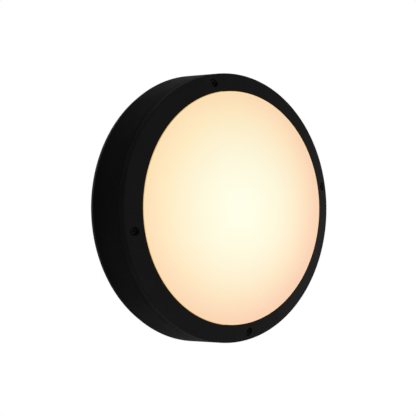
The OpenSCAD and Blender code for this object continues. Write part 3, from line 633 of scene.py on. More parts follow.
def round_axis(name, base, circle, depth=0.0, slot=None):
    """Copies of a base mesh in a circle round the axis."""
    count, radius, first_turn = circle
    return grown(name, ROUND_AXIS, base, slot, Count=count, Radius=radius * MM, Depth=depth * MM,
                 **{"First Turn": float(first_turn)})


def at_places(name, base, places, depth):
    """Copies of a base mesh at places beside the axis."""
    copies = [placed(in_scene(name, base.copy()), x, z, depth) for x, z in places]
    return together(name, copies)


# Shared effects for the finishes

def surface_grain_group():
    """Fine grain, soft patches of shade and an uneven gloss."""
    tree, size, result = named_tree(
        "surface grain", "ShaderNodeTree",
        [("Colour", "Color", (0.5, 0.5, 0.5, 1)), ("Shade Colour", "Color", (0.4, 0.4, 0.4, 1)),
         ("Shade", "Float", 0.5), ("Roughness", "Float", 0.5), ("Roughness Spread", "Float", 0.1),
         ("Grain Size", "Float", 1.0), ("Patch Size", "Float", 30.0)],
        [("Colour", "Color"), ("Roughness", "Float"), ("Height", "Float")])
    where = place_on_object(tree)
    fine = noise(tree, where, calc(tree, "DIVIDE", 1 / MM, size["Grain Size"]), 2.0, 0.5)
    patch = noise(tree, where, calc(tree, "DIVIDE", 1 / MM, size["Patch Size"]), 3.0, 0.6)
    # The noise is spread, so that the patches reach from no shade to full shade
    blend = times(tree, calc(tree, "MULTIPLY_ADD", patch, 2.5, -0.75, clamp=True), size["Shade"])
    unevenness = calc(tree, "ADD", calc(tree, "SUBTRACT", patch, 0.5), calc(tree, "SUBTRACT", fine, 0.5))
    gloss = calc(tree, "MULTIPLY_ADD", unevenness, size["Roughness Spread"], size["Roughness"], clamp=True)
    tree.links.new(mixed(tree, blend, size["Colour"], size["Shade Colour"]), result["Colour"])
    tree.links.new(gloss, result["Roughness"])
    tree.links.new(fine, result["Height"])
    return tree


def rim_wear_group():
    """Rubbed paint along one rim of a turned piece, its sizes in millimetres."""
    tree, size, result = named_tree(
        "rim wear", "ShaderNodeTree",
        [("Colour", "Color", (0, 0, 0, 1)), ("Bare Colour", "Color", (0.1, 0.1, 0.1, 1)),
         ("Rim Radius", "Float", 150.0), ("Rim Depth", "Float", 61.0), ("Rim Width", "Float", 1.0),
         ("Amount", "Float", 0.5)],
        [("Colour", "Color")])
    where = place_on_object(tree)
    part = parts(tree, where)
    radius = times(tree, hypotenuse(tree, part[0], part[2]), 1 / MM)
    off_radius = calc(tree, "SUBTRACT", radius, size["Rim Radius"])
    off_depth = calc(tree, "SUBTRACT", times(tree, part[1], -1 / MM), size["Rim Depth"])
    away = calc(tree, "DIVIDE", hypotenuse(tree, off_radius, off_depth), size["Rim Width"])
    near = calc(tree, "SUBTRACT", 1.0, away, clamp=True)
    # The noise is spread, so that the paint is rubbed in blotches
    blotches = calc(tree, "MULTIPLY_ADD", noise(tree, where, 60.0, 4.0, 0.7), 4.0, -1.8, clamp=True)
    bare = times(tree, times(tree, near, blotches), size["Amount"], clamp=True)
    tree.links.new(mixed(tree, bare, size["Colour"], size["Bare Colour"]), result["Colour"])
    return tree


def settled_dust_group():
    """A thin film of dust on what faces upwards."""
    tree, size, result = named_tree(
        "settled dust", "ShaderNodeTree",
        [("Colour", "Color", (0, 0, 0, 1)), ("Dust Colour", "Color", (0.1, 0.09, 0.08, 1)),
         ("Amount", "Float", 0.1), ("Patch Size", "Float", 12.0)],
        [("Colour", "Color")])
    where = place_on_object(tree)
    patch = noise(tree, where, calc(tree, "DIVIDE", 1 / MM, size["Patch Size"]), 5.0, 0.7)
    facing = parts(tree, add(tree, "ShaderNodeNewGeometry").outputs["Normal"])
    upwards = calc(tree, "MULTIPLY_ADD", facing[2], 1.4, -0.4, clamp=True)
    dust = times(tree, times(tree, upwards, patch), size["Amount"], clamp=True)
    tree.links.new(mixed(tree, dust, size["Colour"], size["Dust Colour"]), result["Colour"])
    return tree


GRAIN = surface_grain_group()
RIM_WEAR = rim_wear_group()
DUST = settled_dust_group()


# Finishes: colours in linear light, grain, relief, patches and rims in millimetres

def grey(value):
    """A colour with the same value in red, green and blue."""
    return (value, value, value)


RUBBED_AMOUNT = 0.2
RUBBED_COLOUR = (*grey(0.016), 1)
# Painted shade on the housing's outside towards the wall: the width in millimetres over which it sets in past
# the skirt, and the power of its fall
PAINTED_SHADE_EDGE = 3
PAINTED_SHADE_FALL = 2.2
SHADE_SHARE = 0.7


def blank_material(name):
    """A new material, its node tree and the inputs of its shader."""
    material = bpy.data.materials.new(name)
    material.use_nodes = True
    return material, material.node_tree, material.node_tree.nodes["Principled BSDF"].inputs


def rubbed(tree, surface, rims):
    """The surface's colour with rubbed paint along its rims: radius, depth and width."""
    for radius, depth, width in rims:
        surface = add(tree, "ShaderNodeGroup",
                      {"Colour": surface, "Bare Colour": RUBBED_COLOUR, "Rim Radius": radius,
                       "Rim Depth": depth, "Rim Width": width, "Amount": RUBBED_AMOUNT},
                      node_tree=RIM_WEAR).outputs["Colour"]
    return surface


def painted_shade_to_wall(tree, surface, amount):
    """The surface's colour with painted shade: darker outside the skirt towards the wall."""
    part = parts(tree, place_on_object(tree))
    near_wall = calc(tree, "MULTIPLY_ADD", part[1], 1 / (CREASE_DEPTH * MM), 1.0, clamp=True)
    outside = calc(tree, "MULTIPLY_ADD", hypotenuse(tree, part[0], part[2]), 1 / (PAINTED_SHADE_EDGE * MM),
                   -SKIRT_R / PAINTED_SHADE_EDGE, clamp=True)
    near_wall = calc(tree, "POWER", near_wall, PAINTED_SHADE_FALL)
    shade = times(tree, times(tree, near_wall, outside), amount)
    return mixed(tree, shade, surface, (0, 0, 0, 1))


def finish(name, colour, roughness, metallic=0.0, specular=0.5, grain=0.4, relief=0.004, patch=8.0,
           shade=0.5, spread=0.15, rims=(), dust=0.0, painted_wall_shade=0.0):
    """A finish with grain and patches, and where asked with worn rims, dust or painted shade towards the
    wall.
    """
    material, tree, shader = blank_material(name)
    darker = [SHADE_SHARE * channel for channel in colour]
    skin = add(tree, "ShaderNodeGroup",
               {"Colour": (*colour, 1), "Shade Colour": (*darker, 1), "Shade": shade,
                "Roughness": roughness, "Roughness Spread": spread, "Grain Size": grain,
                "Patch Size": patch},
               node_tree=GRAIN).outputs
    surface = rubbed(tree, skin["Colour"], rims)
    if dust:
        surface = add(tree, "ShaderNodeGroup", {"Colour": surface, "Amount": dust},
                      node_tree=DUST).outputs["Colour"]
    if painted_wall_shade:
        surface = painted_shade_to_wall(tree, surface, painted_wall_shade)
    bump = add(tree, "ShaderNodeBump", {"Height": skin["Height"], "Strength": 1.0, "Distance": relief * MM})
    tree.links.new(surface, shader["Base Color"])
    tree.links.new(skin["Roughness"], shader["Roughness"])
    tree.links.new(bump.outputs[0], shader["Normal"])
    shader["Metallic"].default_value = metallic
    shader["Specular IOR Level"].default_value = specular
    return material


CAST_PAINT = dict(specular=0.013, grain=0.9, relief=0.012, spread=0.2, dust=0.01)
LEAD_SKIN = dict(roughness=0.4, patch=12)

FINISH_VALUES = {
    # The housing's paint carries painted shade, darker towards the wall
    "housing_paint": dict(colour=grey(0.0082), roughness=0.75, patch=45, painted_wall_shade=0.8,
                          rims=[(BODY_R, SEAM_DEPTH, 0.6)], **CAST_PAINT),
    "ring_paint": dict(colour=grey(0.0106), roughness=0.74, patch=40,
                       rims=[(BODY_R, CREASE_DEPTH, 0.9), (OPENING_R, FRONT_DEPTH, 0.8)], **CAST_PAINT),
    "black_steel": dict(colour=grey(0.005), roughness=0.6, specular=0.03, grain=0.5, patch=3),
    "black_nylon": dict(colour=grey(0.004), roughness=0.7, specular=0.02, patch=5),
    "silicone": dict(colour=(0.42, 0.42, 0.4), roughness=0.45, grain=0.6, patch=14),
    "foam": dict(colour=grey(0.035), roughness=0.95, specular=0.1, grain=0.7, relief=0.25, patch=9,
                 spread=0.1),
    "black_rubber": dict(colour=grey(0.014), roughness=0.7, specular=0.25, grain=0.5, relief=0.01),
    "zinc_steel": dict(colour=(0.62, 0.63, 0.66), roughness=0.32, metallic=1.0, relief=0.003, patch=4),
    "white_steel": dict(colour=grey(0.8), roughness=0.4, grain=1.2, relief=0.012, patch=50, shade=0.15),
    "board_white": dict(colour=(0.83, 0.84, 0.8), roughness=0.35, grain=0.5, relief=0.002, patch=30,
                        shade=0.1),
    "led_phosphor": dict(colour=(0.9, 0.62, 0.12), roughness=0.45, grain=0.15, relief=0.003, patch=1.5,
                         shade=0.3),
    "white_nylon": dict(colour=(0.78, 0.77, 0.72), roughness=0.5, grain=0.5, shade=0.2),
    "driver_plastic": dict(colour=(0.72, 0.72, 0.7), roughness=0.5, relief=0.01, patch=25, shade=0.2),
    "circuit_green": dict(colour=(0.02, 0.16, 0.06), roughness=0.35, grain=0.5, relief=0.003, patch=9),
    "winding_amber": dict(colour=(0.72, 0.42, 0.05), roughness=0.35, grain=0.3, relief=0.006, patch=6),
    "capacitor_blue": dict(colour=(0.02, 0.07, 0.3), roughness=0.3, relief=0.002, patch=6),
    "brass": dict(colour=(0.7, 0.48, 0.17), roughness=0.3, metallic=1.0, relief=0.003, patch=4),
    "lead_brown": dict(colour=(0.13, 0.05, 0.02), **LEAD_SKIN),
    "lead_blue": dict(colour=(0.02, 0.09, 0.4), **LEAD_SKIN),
    "lead_green": dict(colour=(0.05, 0.3, 0.06), **LEAD_SKIN),
    "lead_red": dict(colour=(0.5, 0.02, 0.02), **LEAD_SKIN),
    "lead_black": dict(colour=grey(0.02), **LEAD_SKIN),
}

FINISHES = {name: finish(name, **values) for name, values in FINISH_VALUES.items()}

# Glow of the lit diffuser: radius in millimetres and colour in linear light
GLOW = [
    (0, (0.64, 0.70, 0.605)),
    (45, (0.64, 0.645, 0.52)),
    (65, (0.635, 0.60, 0.465)),
    (85, (0.635, 0.55, 0.395)),
    (105, (0.635, 0.48, 0.31)),
    (118, (0.63, 0.42, 0.275)),
    (127, (0.61, 0.39, 0.24)),
    (129.4, (0.68, 0.41, 0.20)),
]

# Painted light and shade on the glow near the rim: what it is multiplied by on the lighter upper left side
# and on the darker, warmer lower right side
GLOW_LIT_SIDE = (1.05, 1.24, 1.10, 1)
GLOW_SHADED_SIDE = (0.93, 0.76, 0.90, 1)
GLOW_SHADE_RIGHT = 0.8
GLOW_SHADE_DOWN = 0.6
GLOW_SHADE_FALL = 3.0
GLOW_SHADE_LIMIT = 0.92


def glow_colour(tree, part, share):
    """The lit diffuser's colour at a share of the opening's radius, with painted shade towards the lower
    right rim and painted light towards the upper left.
    """
    glow = add(tree, "ShaderNodeValToRGB", {0: share})
    ramp = glow.color_ramp
    ramp.interpolation = "LINEAR"
    while len(ramp.elements) < len(GLOW):
        ramp.elements.new(0.5)
    for stop, (at, colour) in zip(ramp.elements, GLOW):
        stop.position = at / OPENING_R
        stop.color = (*colour, 1)
    # Painted light and shade: the glow is lightened on the upper left and darkened towards the lower right
    # near the rim
    aside = calc(tree, "SUBTRACT", times(tree, part[0], GLOW_SHADE_RIGHT),
                 times(tree, part[2], GLOW_SHADE_DOWN))
    towards_rim = calc(tree, "POWER", calc(tree, "MINIMUM", share, GLOW_SHADE_LIMIT), GLOW_SHADE_FALL)
    shade_lean = times(tree, times(tree, aside, towards_rim), 0.5 / (OPENING_R * MM))
    painted_light_and_shade = mixed(tree, calc(tree, "ADD", shade_lean, 0.5, clamp=True), GLOW_LIT_SIDE, GLOW_SHADED_SIDE)
    return mixed(tree, 1.0, glow.outputs[0], painted_light_and_shade, "MULTIPLY")


def opal_finish():
    """Opal plastic lit from behind, brightest in the middle and peach towards the rim."""
    material, tree, shader = blank_material("opal")
    part = parts(tree, place_on_object(tree))
    share = calc(tree, "DIVIDE", hypotenuse(tree, part[0], part[2]), OPENING_R * MM)
    skin = add(tree, "ShaderNodeGroup",
               {"Colour": (0.42, 0.36, 0.25, 1), "Shade Colour": (0.4, 0.34, 0.23, 1), "Roughness": 0.4,
                "Roughness Spread": 0.05, "Grain Size": 2.0, "Patch Size": 60.0},
               node_tree=GRAIN).outputs
    tree.links.new(skin["Colour"], shader["Base Color"])
    tree.links.new(skin["Roughness"], shader["Roughness"])
    tree.links.new(glow_colour(tree, part, share), shader["Emission Color"])
    shader["Emission Strength"].default_value = 1.0
    shader["Specular IOR Level"].default_value = 0.15
    return material


FINISHES["opal"] = opal_finish()

SLOT_OF = {part["node"]: part["material_slot"] for part in frame["record"]["subparts"]}


def finished(piece, node, slot=None):
    """Gives the piece its finish and smooth shading, and lets it stand for its CAD node."""
    slot = slot or SLOT_OF[node]
    mesh = piece.data
    mesh.materials.clear()
    mesh.materials.append(FINISHES[slot])
    mesh.polygons.foreach_set("material_index", [0] * len(mesh.polygons))
    mesh.polygons.foreach_set("use_smooth", [True] * len(mesh.polygons))
    mesh.set_sharp_from_angle(angle=SHARP_ANGLE)
    piece.modifiers.new("normals", "WEIGHTED_NORMAL").keep_sharp = True
    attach(piece, "root")
    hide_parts(node)


def finished_round(name, base, circle, depth, node):
    """Copies of a base mesh in a circle round the axis, finished in place of a CAD node."""
    finished(round_axis(name, base, circle, depth, SLOT_OF[node]), node)


# The housing

def housing():
    """The cast pan with its shelf and skirt, ribs, bosses, posts, pads and holes."""
    foam_in, foam_out = FOAM_IN_R - FIT_GAP, FOAM_OUT_R + FIT_GAP
    groove_in, groove_out = GASKET_R - GASKET_HALF - FIT_GAP, GASKET_R + GASKET_HALF + FIT_GAP
    groove_floor = SEAM_DEPTH - GROOVE_DEPTH
    shell = turned("housing_body", [
        (0, 0), (foam_in, 0, FINE_EDGE), (foam_in, FOAM_T, 0.2), (foam_out, FOAM_T, 0.2),
        (foam_out, 0, FINE_EDGE), (PAN_OUT_R, 0, CAST_EDGE),
        (PAN_OUT_R, SHELF_DEPTH, SHELF_EDGE), (SKIRT_R, SHELF_DEPTH, SHELF_EDGE), (SKIRT_R, 0, CAST_EDGE),
        (BODY_R - WALL_DRAW, 0, CAST_EDGE), (BODY_R, WALL_DRAW_DEPTH, 4),
        (BODY_R, SEAM_DEPTH - SEAM_CUT, FINE_EDGE), (BODY_R - SEAM_CUT, SEAM_DEPTH, FINE_EDGE),
        (groove_out, SEAM_DEPTH, FINE_EDGE), (groove_out, groove_floor), (groove_in, groove_floor),
        (groove_in, SEAM_DEPTH, FINE_EDGE), (PAN_R, SEAM_DEPTH, 0.4),
        (PAN_R, BACK_T + PAN_CORNER, 2), (PAN_R - PAN_CORNER, BACK_T, 2), (0, BACK_T)],
        steps=4, slot="housing_paint")
    root = BACK_T - BITE
    shelf_top = SHELF_DEPTH + BITE
    rib = bar(PAN_OUT_R - BITE, SKIRT_R + BITE, SHELF_DEPTH - RIB_H, shelf_top, RIB_T)
    added = [round_axis("ribs", rib, RIB_CIRCLE)]
    added += pegs(BOSS_R, SEAM_DEPTH - BOSS_H, shelf_top, SCREW_PLACES)
    added += pegs(POST_R, root, TRAY_TOP - TRAY_T, POST_PLACES)
    added += pegs(DRIVER_BOSS_R, root, BACK_T + DRIVER_BOSS_H, DRIVER_PLACES)
    added += pegs(EARTH_BOSS_R, root, BACK_T + EARTH_BOSS_H, EARTH_PLACES)
    pad = bar(-PAD_L / 2, PAD_L / 2, root, BACK_T + PAD_H, PAD_W)
    added.append(placed(in_scene("pad", pad), z=TERMINAL_Z))
    shaped(shell, "UNION", together("added", added))
    cuts = tapped_holes(M4, COVER_SCREW_L, SEAT_DEPTH + WASHER_T, SCREW_PLACES)
    cuts += tapped_holes(M4, M4_PAN_L, TRAY_TOP, POST_PLACES)
    cuts += tapped_holes(M4, M4_PAN_L, DRIVER_FOOT_TOP, DRIVER_PLACES)
    cuts += tapped_holes(M3, TERMINAL_SCREW_L, TERMINAL_SEAT, TERMINAL_PLACES)
    cuts += tapped_holes(M4, M4_PAN_L, EARTH_LUG_TOP, EARTH_PLACES)
    cuts += [stepped_peg(GROMMET_R + FIT_GAP, -OVER, ENTRY_SINK, NECK_R + FIT_GAP, BACK_T + OVER, x)
             for x in (0, ENTRY_X)]
    cuts += [stepped_peg(FIX_R, -OVER, SEAL_BACK, SEAL_R + FIT_GAP, BACK_T + OVER, x, z)
             for x, z in FIX_PLACES]
    return shaped(shell, "DIFFERENCE", together("cuts", cuts))


finished(housing(), "base_housing")


# The cover ring

def face_depth(radius):
    """Depth of the ring's sloping face at a radius, before its edges are rounded."""
    return CREASE_DEPTH + (FRONT_DEPTH - CREASE_DEPTH) * (BODY_R - radius) / (BODY_R - OPENING_R)


def on_recess_edge(point):
    """Whether a point lies where a screw's recess meets the sloping face."""
    off = min(math.hypot(point.x - x, point.z - z) for x, z in SCREW_PLACES)
    below = face_depth(math.hypot(point.x, point.z)) + point.y
    return abs(off - RECESS_R) < 0.05 and abs(below) < 0.1


def ring_braces():
    """Ribs and screw pillars, kept under the ring's skin and clear of the diffuser."""
    low = FLANGE_TOP + BRACE_SINK
    near, far = OPENING_R + BRACE_SINK, BODY_R - BRACE_SINK_BAND
    clear = FLANGE_R + FLANGE_CLEAR
    inside = turned("inside", [
        (near, low), (near, face_depth(near) - BRACE_SINK), (far, face_depth(far) - BRACE_SINK),
        (far, SEAM_DEPTH), (clear, SEAM_DEPTH), (clear, low)])
    rib = bar(OPENING_R, BODY_R, FLANGE_TOP, ABOVE_RING, BRACE_T)
    braces = [round_axis("braces", rib, BRACE_CIRCLE)]
    braces += pegs(PILLAR_R, SEAM_DEPTH - OVER, ABOVE_RING, SCREW_PLACES)
    return shaped(together("braces", braces), "INTERSECT", inside)


def cover_ring():
    """The ring with its sloping face, braces, screw recesses and drain notch."""
    band_in = BODY_R - RING_T
    ring = turned("cover_ring_body", [
        (OPENING_R, FLANGE_TOP), (RING_INNER_R, FLANGE_TOP), (RING_INNER_R, UNDERSIDE_AT_INNER, CAST_EDGE),
        (band_in, UNDERSIDE_AT_BAND, CAST_EDGE), (band_in, SEAM_DEPTH),
        (BODY_R - SEAM_CUT, SEAM_DEPTH, FINE_EDGE), (BODY_R, SEAM_DEPTH + SEAM_CUT, FINE_EDGE),
        (BODY_R, CREASE_DEPTH, 1.2), (OPENING_R, FRONT_DEPTH, 0.6)],
        steps=6, slot="ring_paint")
    shaped(ring, "UNION", ring_braces())
    holes = [stepped_peg(PASS_R, SEAM_DEPTH - OVER, SEAT_DEPTH, RECESS_R, ABOVE_RING, x, z, HEAD_SIDES)
             for x, z in SCREW_PLACES]
    notch = bar(SKIRT_R - OVER, BODY_R + OVER, SEAM_DEPTH - OVER, SEAM_DEPTH + DRAIN_H, DRAIN_W)
    holes.append(round_axis("notch", notch, DRAIN_CIRCLE))
    shaped(ring, "DIFFERENCE", together("holes", holes))
    return softened(ring, on_recess_edge, RECESS_EDGE, 3)


finished(cover_ring(), "cover_ring")


# The diffuser and the soft rings

def dome(outer_depth, radius, to_radius, steps):
    """Points of a shallow dome from the middle outwards, with its middle at that depth."""
    centre = outer_depth - radius
    return [(to_radius * i / steps, centre + math.sqrt(radius ** 2 - (to_radius * i / steps) ** 2))
            for i in range(steps + 1)]


def diffuser():
    """The opal dome with its straight side and its flange under the ring."""
    top = DOME_DEPTH - HAIR
    rise = top - FRONT_DEPTH
    dome_r = (LENS_R ** 2 + rise ** 2) / (2 * rise)
    inner_r = LENS_R - LENS_T
    outer = dome(top, dome_r, LENS_R, 36)
    inner = dome(top - LENS_T, dome_r - LENS_T, inner_r, 24)
    outer[-1] = (*outer[-1], 0.9)
    flange = [(LENS_R, FLANGE_TOP), (FLANGE_R, FLANGE_TOP), (FLANGE_R, FLANGE_DEPTH), (inner_r, FLANGE_DEPTH)]
    return turned("opal_diffuser", outer + [(*corner, 0.4) for corner in flange] + inner[::-1],
                  steps=6, slot="opal")


def soft_ring(name, inner_r, outer_r, low, high, low_edge, high_edge, slot):
    """A soft ring with its edges rounded at the low and at the high end."""
    return turned(name, [(inner_r, low, low_edge), (outer_r, low, low_edge), (outer_r, high, high_edge),
                         (inner_r, high, high_edge)], slot=slot)


finished(diffuser(), "diffuser")
finished(soft_ring("diffuser_seal", GASKET_R - GASKET_HALF, GASKET_R + GASKET_HALF,
                   SEAM_DEPTH - GROOVE_DEPTH, FLANGE_DEPTH, 0.6, 0.9, "silicone"), "diffuser_gasket")
finished(soft_ring("foam_seal", FOAM_IN_R, FOAM_OUT_R, 0, FOAM_T, 0.5, 0.3, "foam"), "wall_gasket")


# The rubber pieces in the back plate

def grommet(name, end):
    """A rubber grommet held by its groove in the back plate, its bore ended as given."""
    return turned(name, [
        (CABLE_R, GROMMET_BACK, 0.4), (GROMMET_R, GROMMET_BACK, 0.6), (GROMMET_R, ENTRY_SINK, 0.5),
        (NECK_R, ENTRY_SINK, 0.2), (NECK_R, BACK_T, 0.2), (GROMMET_R, BACK_T, 0.5),
        (GROMMET_R, GROMMET_STEP, 0.6), (NOSE_BASE_R, GROMMET_STEP, 0.5), (NOSE_R, NOSE_DEPTH, 0.7), *end],
        GROMMET_SIDES, slot="black_rubber")


fixing_seal = turned("seal", [
    (SEAL_IN_R, SEAL_BACK, 0.3), (SEAL_R, SEAL_BACK, 0.4), (SEAL_R, SEAL_FRONT, 0.6),
    (SEAL_IN_R, SEAL_FRONT, 0.6)], SMALL_SIDES)
finished_round("fixing_washers", spare_mesh(fixing_seal), FIX_CIRCLE, 0, "fixing_seals")
finished(grommet("entry_grommet", [(CABLE_R, NOSE_DEPTH, 0.4)]), "cable_grommet")
blank = grommet("blank_grommet", [(0, NOSE_DEPTH), (0, WEB_DEPTH), (CABLE_R, WEB_DEPTH, 0.6)])
finished(placed(blank, ENTRY_X), "blanking_grommet")


# Screws and washers

def screw(head, length, radius, pitch, slot):
    """A screw's mesh: its head and the threaded shank under it, which ends at the origin."""
    shank = grown("shank", THREADED, bpy.data.meshes.new("shank_base"), slot, Length=length * MM,
                  Radius=radius * MM, Pitch=pitch * MM, **{"Thread Depth": THREAD_SHARE * pitch * MM})
    clean(shank)
    return spare_mesh(together("screw", [head, shank]))


def socket_head(head_r, head_h, hex_w, hex_depth):
    """A round head with a hexagon socket."""
    head = turned("head", [(0, 0), (head_r, 0, 0.2), (head_r, head_h, 0.5), (0, head_h)], HEAD_SIDES)
    key = peg(hex_w / 2 / math.cos(math.radians(30)), head_h - hex_depth, head_h + OVER, sides=6)
    return shaped(head, "DIFFERENCE", key)


def pan_head(head_r, head_h):
    """A domed head with a cross recess."""
    head = turned("head", [(0, 0), (head_r, 0, 0.1), (head_r, head_h, head_h * 0.8), (0, head_h)],
                  HEAD_SIDES, 8)
    floor, foot, mouth, width = head_h * 0.4, head_r * 0.56, head_r * 0.66, head_r * 0.28
    blade = slab([(-foot, floor), (foot, floor), (mouth, head_h + OVER), (-mouth, head_h + OVER)], width)
    crossing = blade.copy()
    crossing.transform(Matrix.Rotation(math.radians(90), 4, "Y"))
    cross = shaped(in_scene("blade", blade), "UNION", in_scene("crossing", crossing))
    return shaped(head, "DIFFERENCE", cross)


socket_screw = screw(socket_head(3.5, 4, 3, 2.2), COVER_SCREW_L, **M4, slot="black_steel")
washer = turned("washer", [
    (PASS_R, 0, 0.15), (WASHER_R, 0, 0.15), (WASHER_R, WASHER_T, 0.2), (PASS_R, WASHER_T, 0.15)], HEAD_SIDES)
m4_screw = screw(pan_head(3.8, 2.6), M4_PAN_L, **M4, slot="zinc_steel")
m3_long_screw = screw(pan_head(2.75, 2), TERMINAL_SCREW_L, **M3, slot="zinc_steel")
m3_short_screw = screw(pan_head(2.75, 2), BOARD_SCREW_L, **M3, slot="zinc_steel")

finished_round("socket_screws", socket_screw, SCREW_CIRCLE, SEAT_DEPTH + WASHER_T, "cover_screws")
finished_round("screw_washers", spare_mesh(washer), SCREW_CIRCLE, SEAT_DEPTH, "cover_screw_washers")
finished_round("tray_pan_screws", m4_screw, POST_CIRCLE, TRAY_TOP, "tray_screws")
finished(at_places("driver_pan_screws", m4_screw, DRIVER_PLACES, DRIVER_FOOT_TOP), "driver_screws")
finished(at_places("earth_pan_screw", m4_screw, EARTH_PLACES, EARTH_LUG_TOP), "earth_screw")
finished(at_places("terminal_pan_screws", m3_long_screw, TERMINAL_PLACES, TERMINAL_SEAT),
         "terminal_block_screws")
finished_round("board_pan_screws", m3_short_screw, BOARD_SCREW_CIRCLE, BOARD_TOP, "led_board_screws")


# The LEDs: a white frame with a phosphor window, in two rows on the board

def led_frame():
    """A moulded frame with a round recess in its face."""
    body = in_scene("frame", bar(-LED_W / 2, LED_W / 2, 0, LED_H, LED_L))
    softened(body, lambda point: -point.y > LED_H - 0.01, LED_EDGE)
    recess = peg(LED_RECESS_R, LED_H - LED_RECESS, LED_H + OVER, sides=LED_SIDES)
    return spare_mesh(shaped(body, "DIFFERENCE", recess))


def led_window():
    """A domed window, sunk into the floor of the frame's recess."""
    low, side, shoulder, top = 0.45, 0.62, 0.7, 0.74
    return spare_mesh(turned("window", [
        (0, low), (LED_WINDOW_R, low), (LED_WINDOW_R, side), (0.6, shoulder), (0, top)], LED_SIDES))


for name, base, slot in (("led_frames", led_frame(), "white_nylon"),
                         ("led_windows", led_window(), "led_phosphor")):
    rows = [round_axis(name, base, circle, BOARD_TOP, slot) for circle in LED_CIRCLES]
    finished(together(name, rows), "led_chips", slot=slot)


# The leads, along their routes in CAD: places sideways, upwards and outwards

def curve_point(a, b, c, d, t):
    """Point at t between b and c on a smooth curve that passes a, b, c and d."""
    square, cube = 2 * a - 5 * b + 4 * c - d, 3 * b - a - 3 * c + d
    return 0.5 * (2 * b + (c - a) * t + square * t ** 2 + cube * t ** 3)


def lead(name, start, start_way, route, end, end_way, node):
    """A lead straight out of one hole, along its route, and straight into another hole."""
    stub = LEAD_IN + LEAD_STUB
    start, end = Vector(start), Vector(end)
    stops = [start + stub * Vector(start_way), *map(Vector, route), end + stub * Vector(end_way)]
    padded = [stops[0], *stops, stops[-1]]
    path = [start]
    path += [curve_point(*padded[i:i + 4], step / LEAD_STEPS)
             for i in range(len(stops) - 1) for step in range(LEAD_STEPS)]
    path += [stops[-1], end]
    mesh = bpy.data.meshes.new("route")
    mesh.from_pydata([(p.x * MM, -p.z * MM, p.y * MM) for p in path],
                     [(i, i + 1) for i in range(len(path) - 1)], [])
    piece = grown(name, LEAD, mesh, SLOT_OF[node], Diameter=LEAD_D * MM)
    clean(piece)
    finished(piece, node)


def driver_hole(end, side):
    """Bottom of a hole in the driver's left or right end, on its upper or lower side."""
    return (end * DRIVER_HOLE_X, DRIVER_Z + side * DRIVER_HOLE_ASIDE, DRIVER_HOLE_DEPTH)


def up_to_board(side):
    """The last part of an LED lead, straight up through the grommet and over to the board."""
    steps = [(0, TRAY_TOP - 5), (0, TRAY_TOP - 2.5), (0, TRAY_TOP + 1.5), (0, PLUG_DEPTH),
             (4, PLUG_DEPTH + 1.6)]
    return [(LEAD_HOLE_X + x, side * LEAD_PITCH / 2, depth) for x, depth in steps]


lead("live_wire", TERMINAL_HOLES[0], UPWARDS,
     [(-12, -27, 14), (-34, -14, 15), (-64, 10, 16), (-77, 34, 18), (-72, 49, 18)],
     driver_hole(-1, 1), LEFT, "live_lead")
lead("neutral_wire", TERMINAL_HOLES[1], UPWARDS,
     [(-4, -24, 14), (-26, -7, 15), (-56, 14, 16), (-69, 32, 18), (-68, 43, 18)],
     driver_hole(-1, -1), LEFT, "neutral_lead")
lead("earth_wire", TERMINAL_HOLES[2], UPWARDS,
     [(12, -27, 14), (24, -18, 14), (42, -17, 13), (51, -22, 12)],
     EARTH_HOLE, UPWARDS, "earth_lead")
lead("led_plus_wire", driver_hole(1, 1), RIGHT,
     [(72, 50, 18), (77, 36, 19), (60, 14, 21), (37, 1, 23), (21, -3, 24), *up_to_board(-1)],
     (PLUG_X, -PLUG_ASIDE, PLUG_DEPTH), LEFT, "led_plus_lead")
lead("led_minus_wire", driver_hole(1, -1), RIGHT,
     [(66, 45, 18), (67, 35, 19), (54, 19, 21), (35, 7, 23), (21, 3, 24), *up_to_board(1)],
     (PLUG_X, PLUG_ASIDE, PLUG_DEPTH), LEFT, "led_minus_lead")


# CAD nodes that keep their shape get their finish here

for node, piece in frame["nodes"].items():
    if piece.hide_render:
        continue
    for place in range(len(piece.data.materials)):
        piece.data.materials[place] = FINISHES[SLOT_OF[node]]


# Floor, camera and lights

def floor_finish():
    """A matt pale colour that the camera and the glossy surfaces see lighter still."""
    material, tree, shader = blank_material("pale_floor")
    shader["Base Color"].default_value = (0.86, 0.86, 0.86, 1)
    shader["Roughness"].default_value = 0.9
    shader["Specular IOR Level"].default_value = 0.1
    shader["Emission Color"].default_value = (1, 1, 1, 1)
    ray = add(tree, "ShaderNodeLightPath").outputs
    seen = calc(tree, "MAXIMUM", ray["Is Camera Ray"], ray["Is Glossy Ray"])
    tree.links.new(times(tree, seen, FLOOR_LIFT), shader["Emission Strength"])
    return material


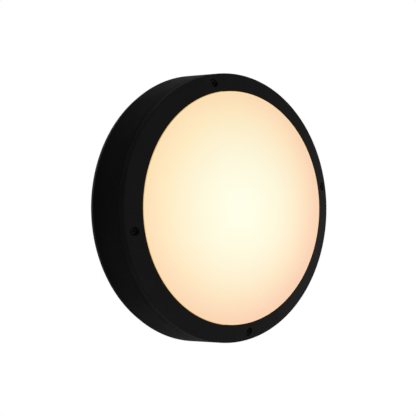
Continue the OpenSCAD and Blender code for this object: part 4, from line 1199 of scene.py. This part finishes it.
def lay_floor():
    """A wide round floor under the light, not part of the object."""
    floor = peg(FLOOR_R, 0, FLOOR_T, sides=FLOOR_SIDES)
    floor.name = "floor"
    floor.data.transform(Matrix.Rotation(math.radians(90), 4, "X"))
    floor.data.transform(Matrix.Translation((0, 0, -FLOOR_DROP * MM)))
    floor.data.materials.clear()
    floor.data.materials.append(floor_finish())


def set_camera():
    """The camera at the photo's viewing angle, a little aside of the line to the origin."""
    data = bpy.data.cameras.new("camera")
    data.lens = CAMERA_LENS
    data.sensor_width = SENSOR_W
    camera = in_scene("camera", data)
    level = math.cos(CAMERA_RISE)
    towards = Vector((math.sin(CAMERA_TURN) * level, -math.cos(CAMERA_TURN) * level, math.sin(CAMERA_RISE)))
    right = Vector((math.cos(CAMERA_TURN), math.sin(CAMERA_TURN), 0))
    upright = towards.cross(right)
    turn = Matrix((right, upright, towards)).transposed().to_4x4()
    stand = towards * CAMERA_DISTANCE + right * CAMERA_ASIDE + upright * CAMERA_UP
    camera.matrix_world = Matrix.Translation(stand) @ turn
    scene.camera = camera


def set_world():
    """Surroundings that look white, and give a soft light."""
    world = bpy.data.worlds.new("studio")
    world.use_nodes = True
    scene.world = world
    tree = world.node_tree
    tree.nodes.clear()
    ray = add(tree, "ShaderNodeLightPath").outputs
    seen = calc(tree, "MAXIMUM", calc(tree, "MAXIMUM", ray["Is Camera Ray"], ray["Is Glossy Ray"]),
                ray["Is Transmission Ray"])
    level = calc(tree, "MULTIPLY_ADD", seen, 1 - WORLD_LEVEL, WORLD_LEVEL)
    sky = add(tree, "ShaderNodeBackground", {"Color": (1, 1, 1, 1), "Strength": level})
    add(tree, "ShaderNodeOutputWorld", {"Surface": sky.outputs[0]})


def softbox(name, place, size, power):
    """A square lamp that faces the light."""
    data = bpy.data.lights.new(name, "AREA")
    data.size = size
    data.energy = power
    lamp = in_scene(name, data)
    lamp.location = place
    lamp.rotation_euler = (-Vector(place)).to_track_quat("-Z", "Y").to_euler()
    lamp.visible_camera = False


lay_floor()
set_camera()
set_world()
for lamp in LAMPS:
    softbox(*lamp)
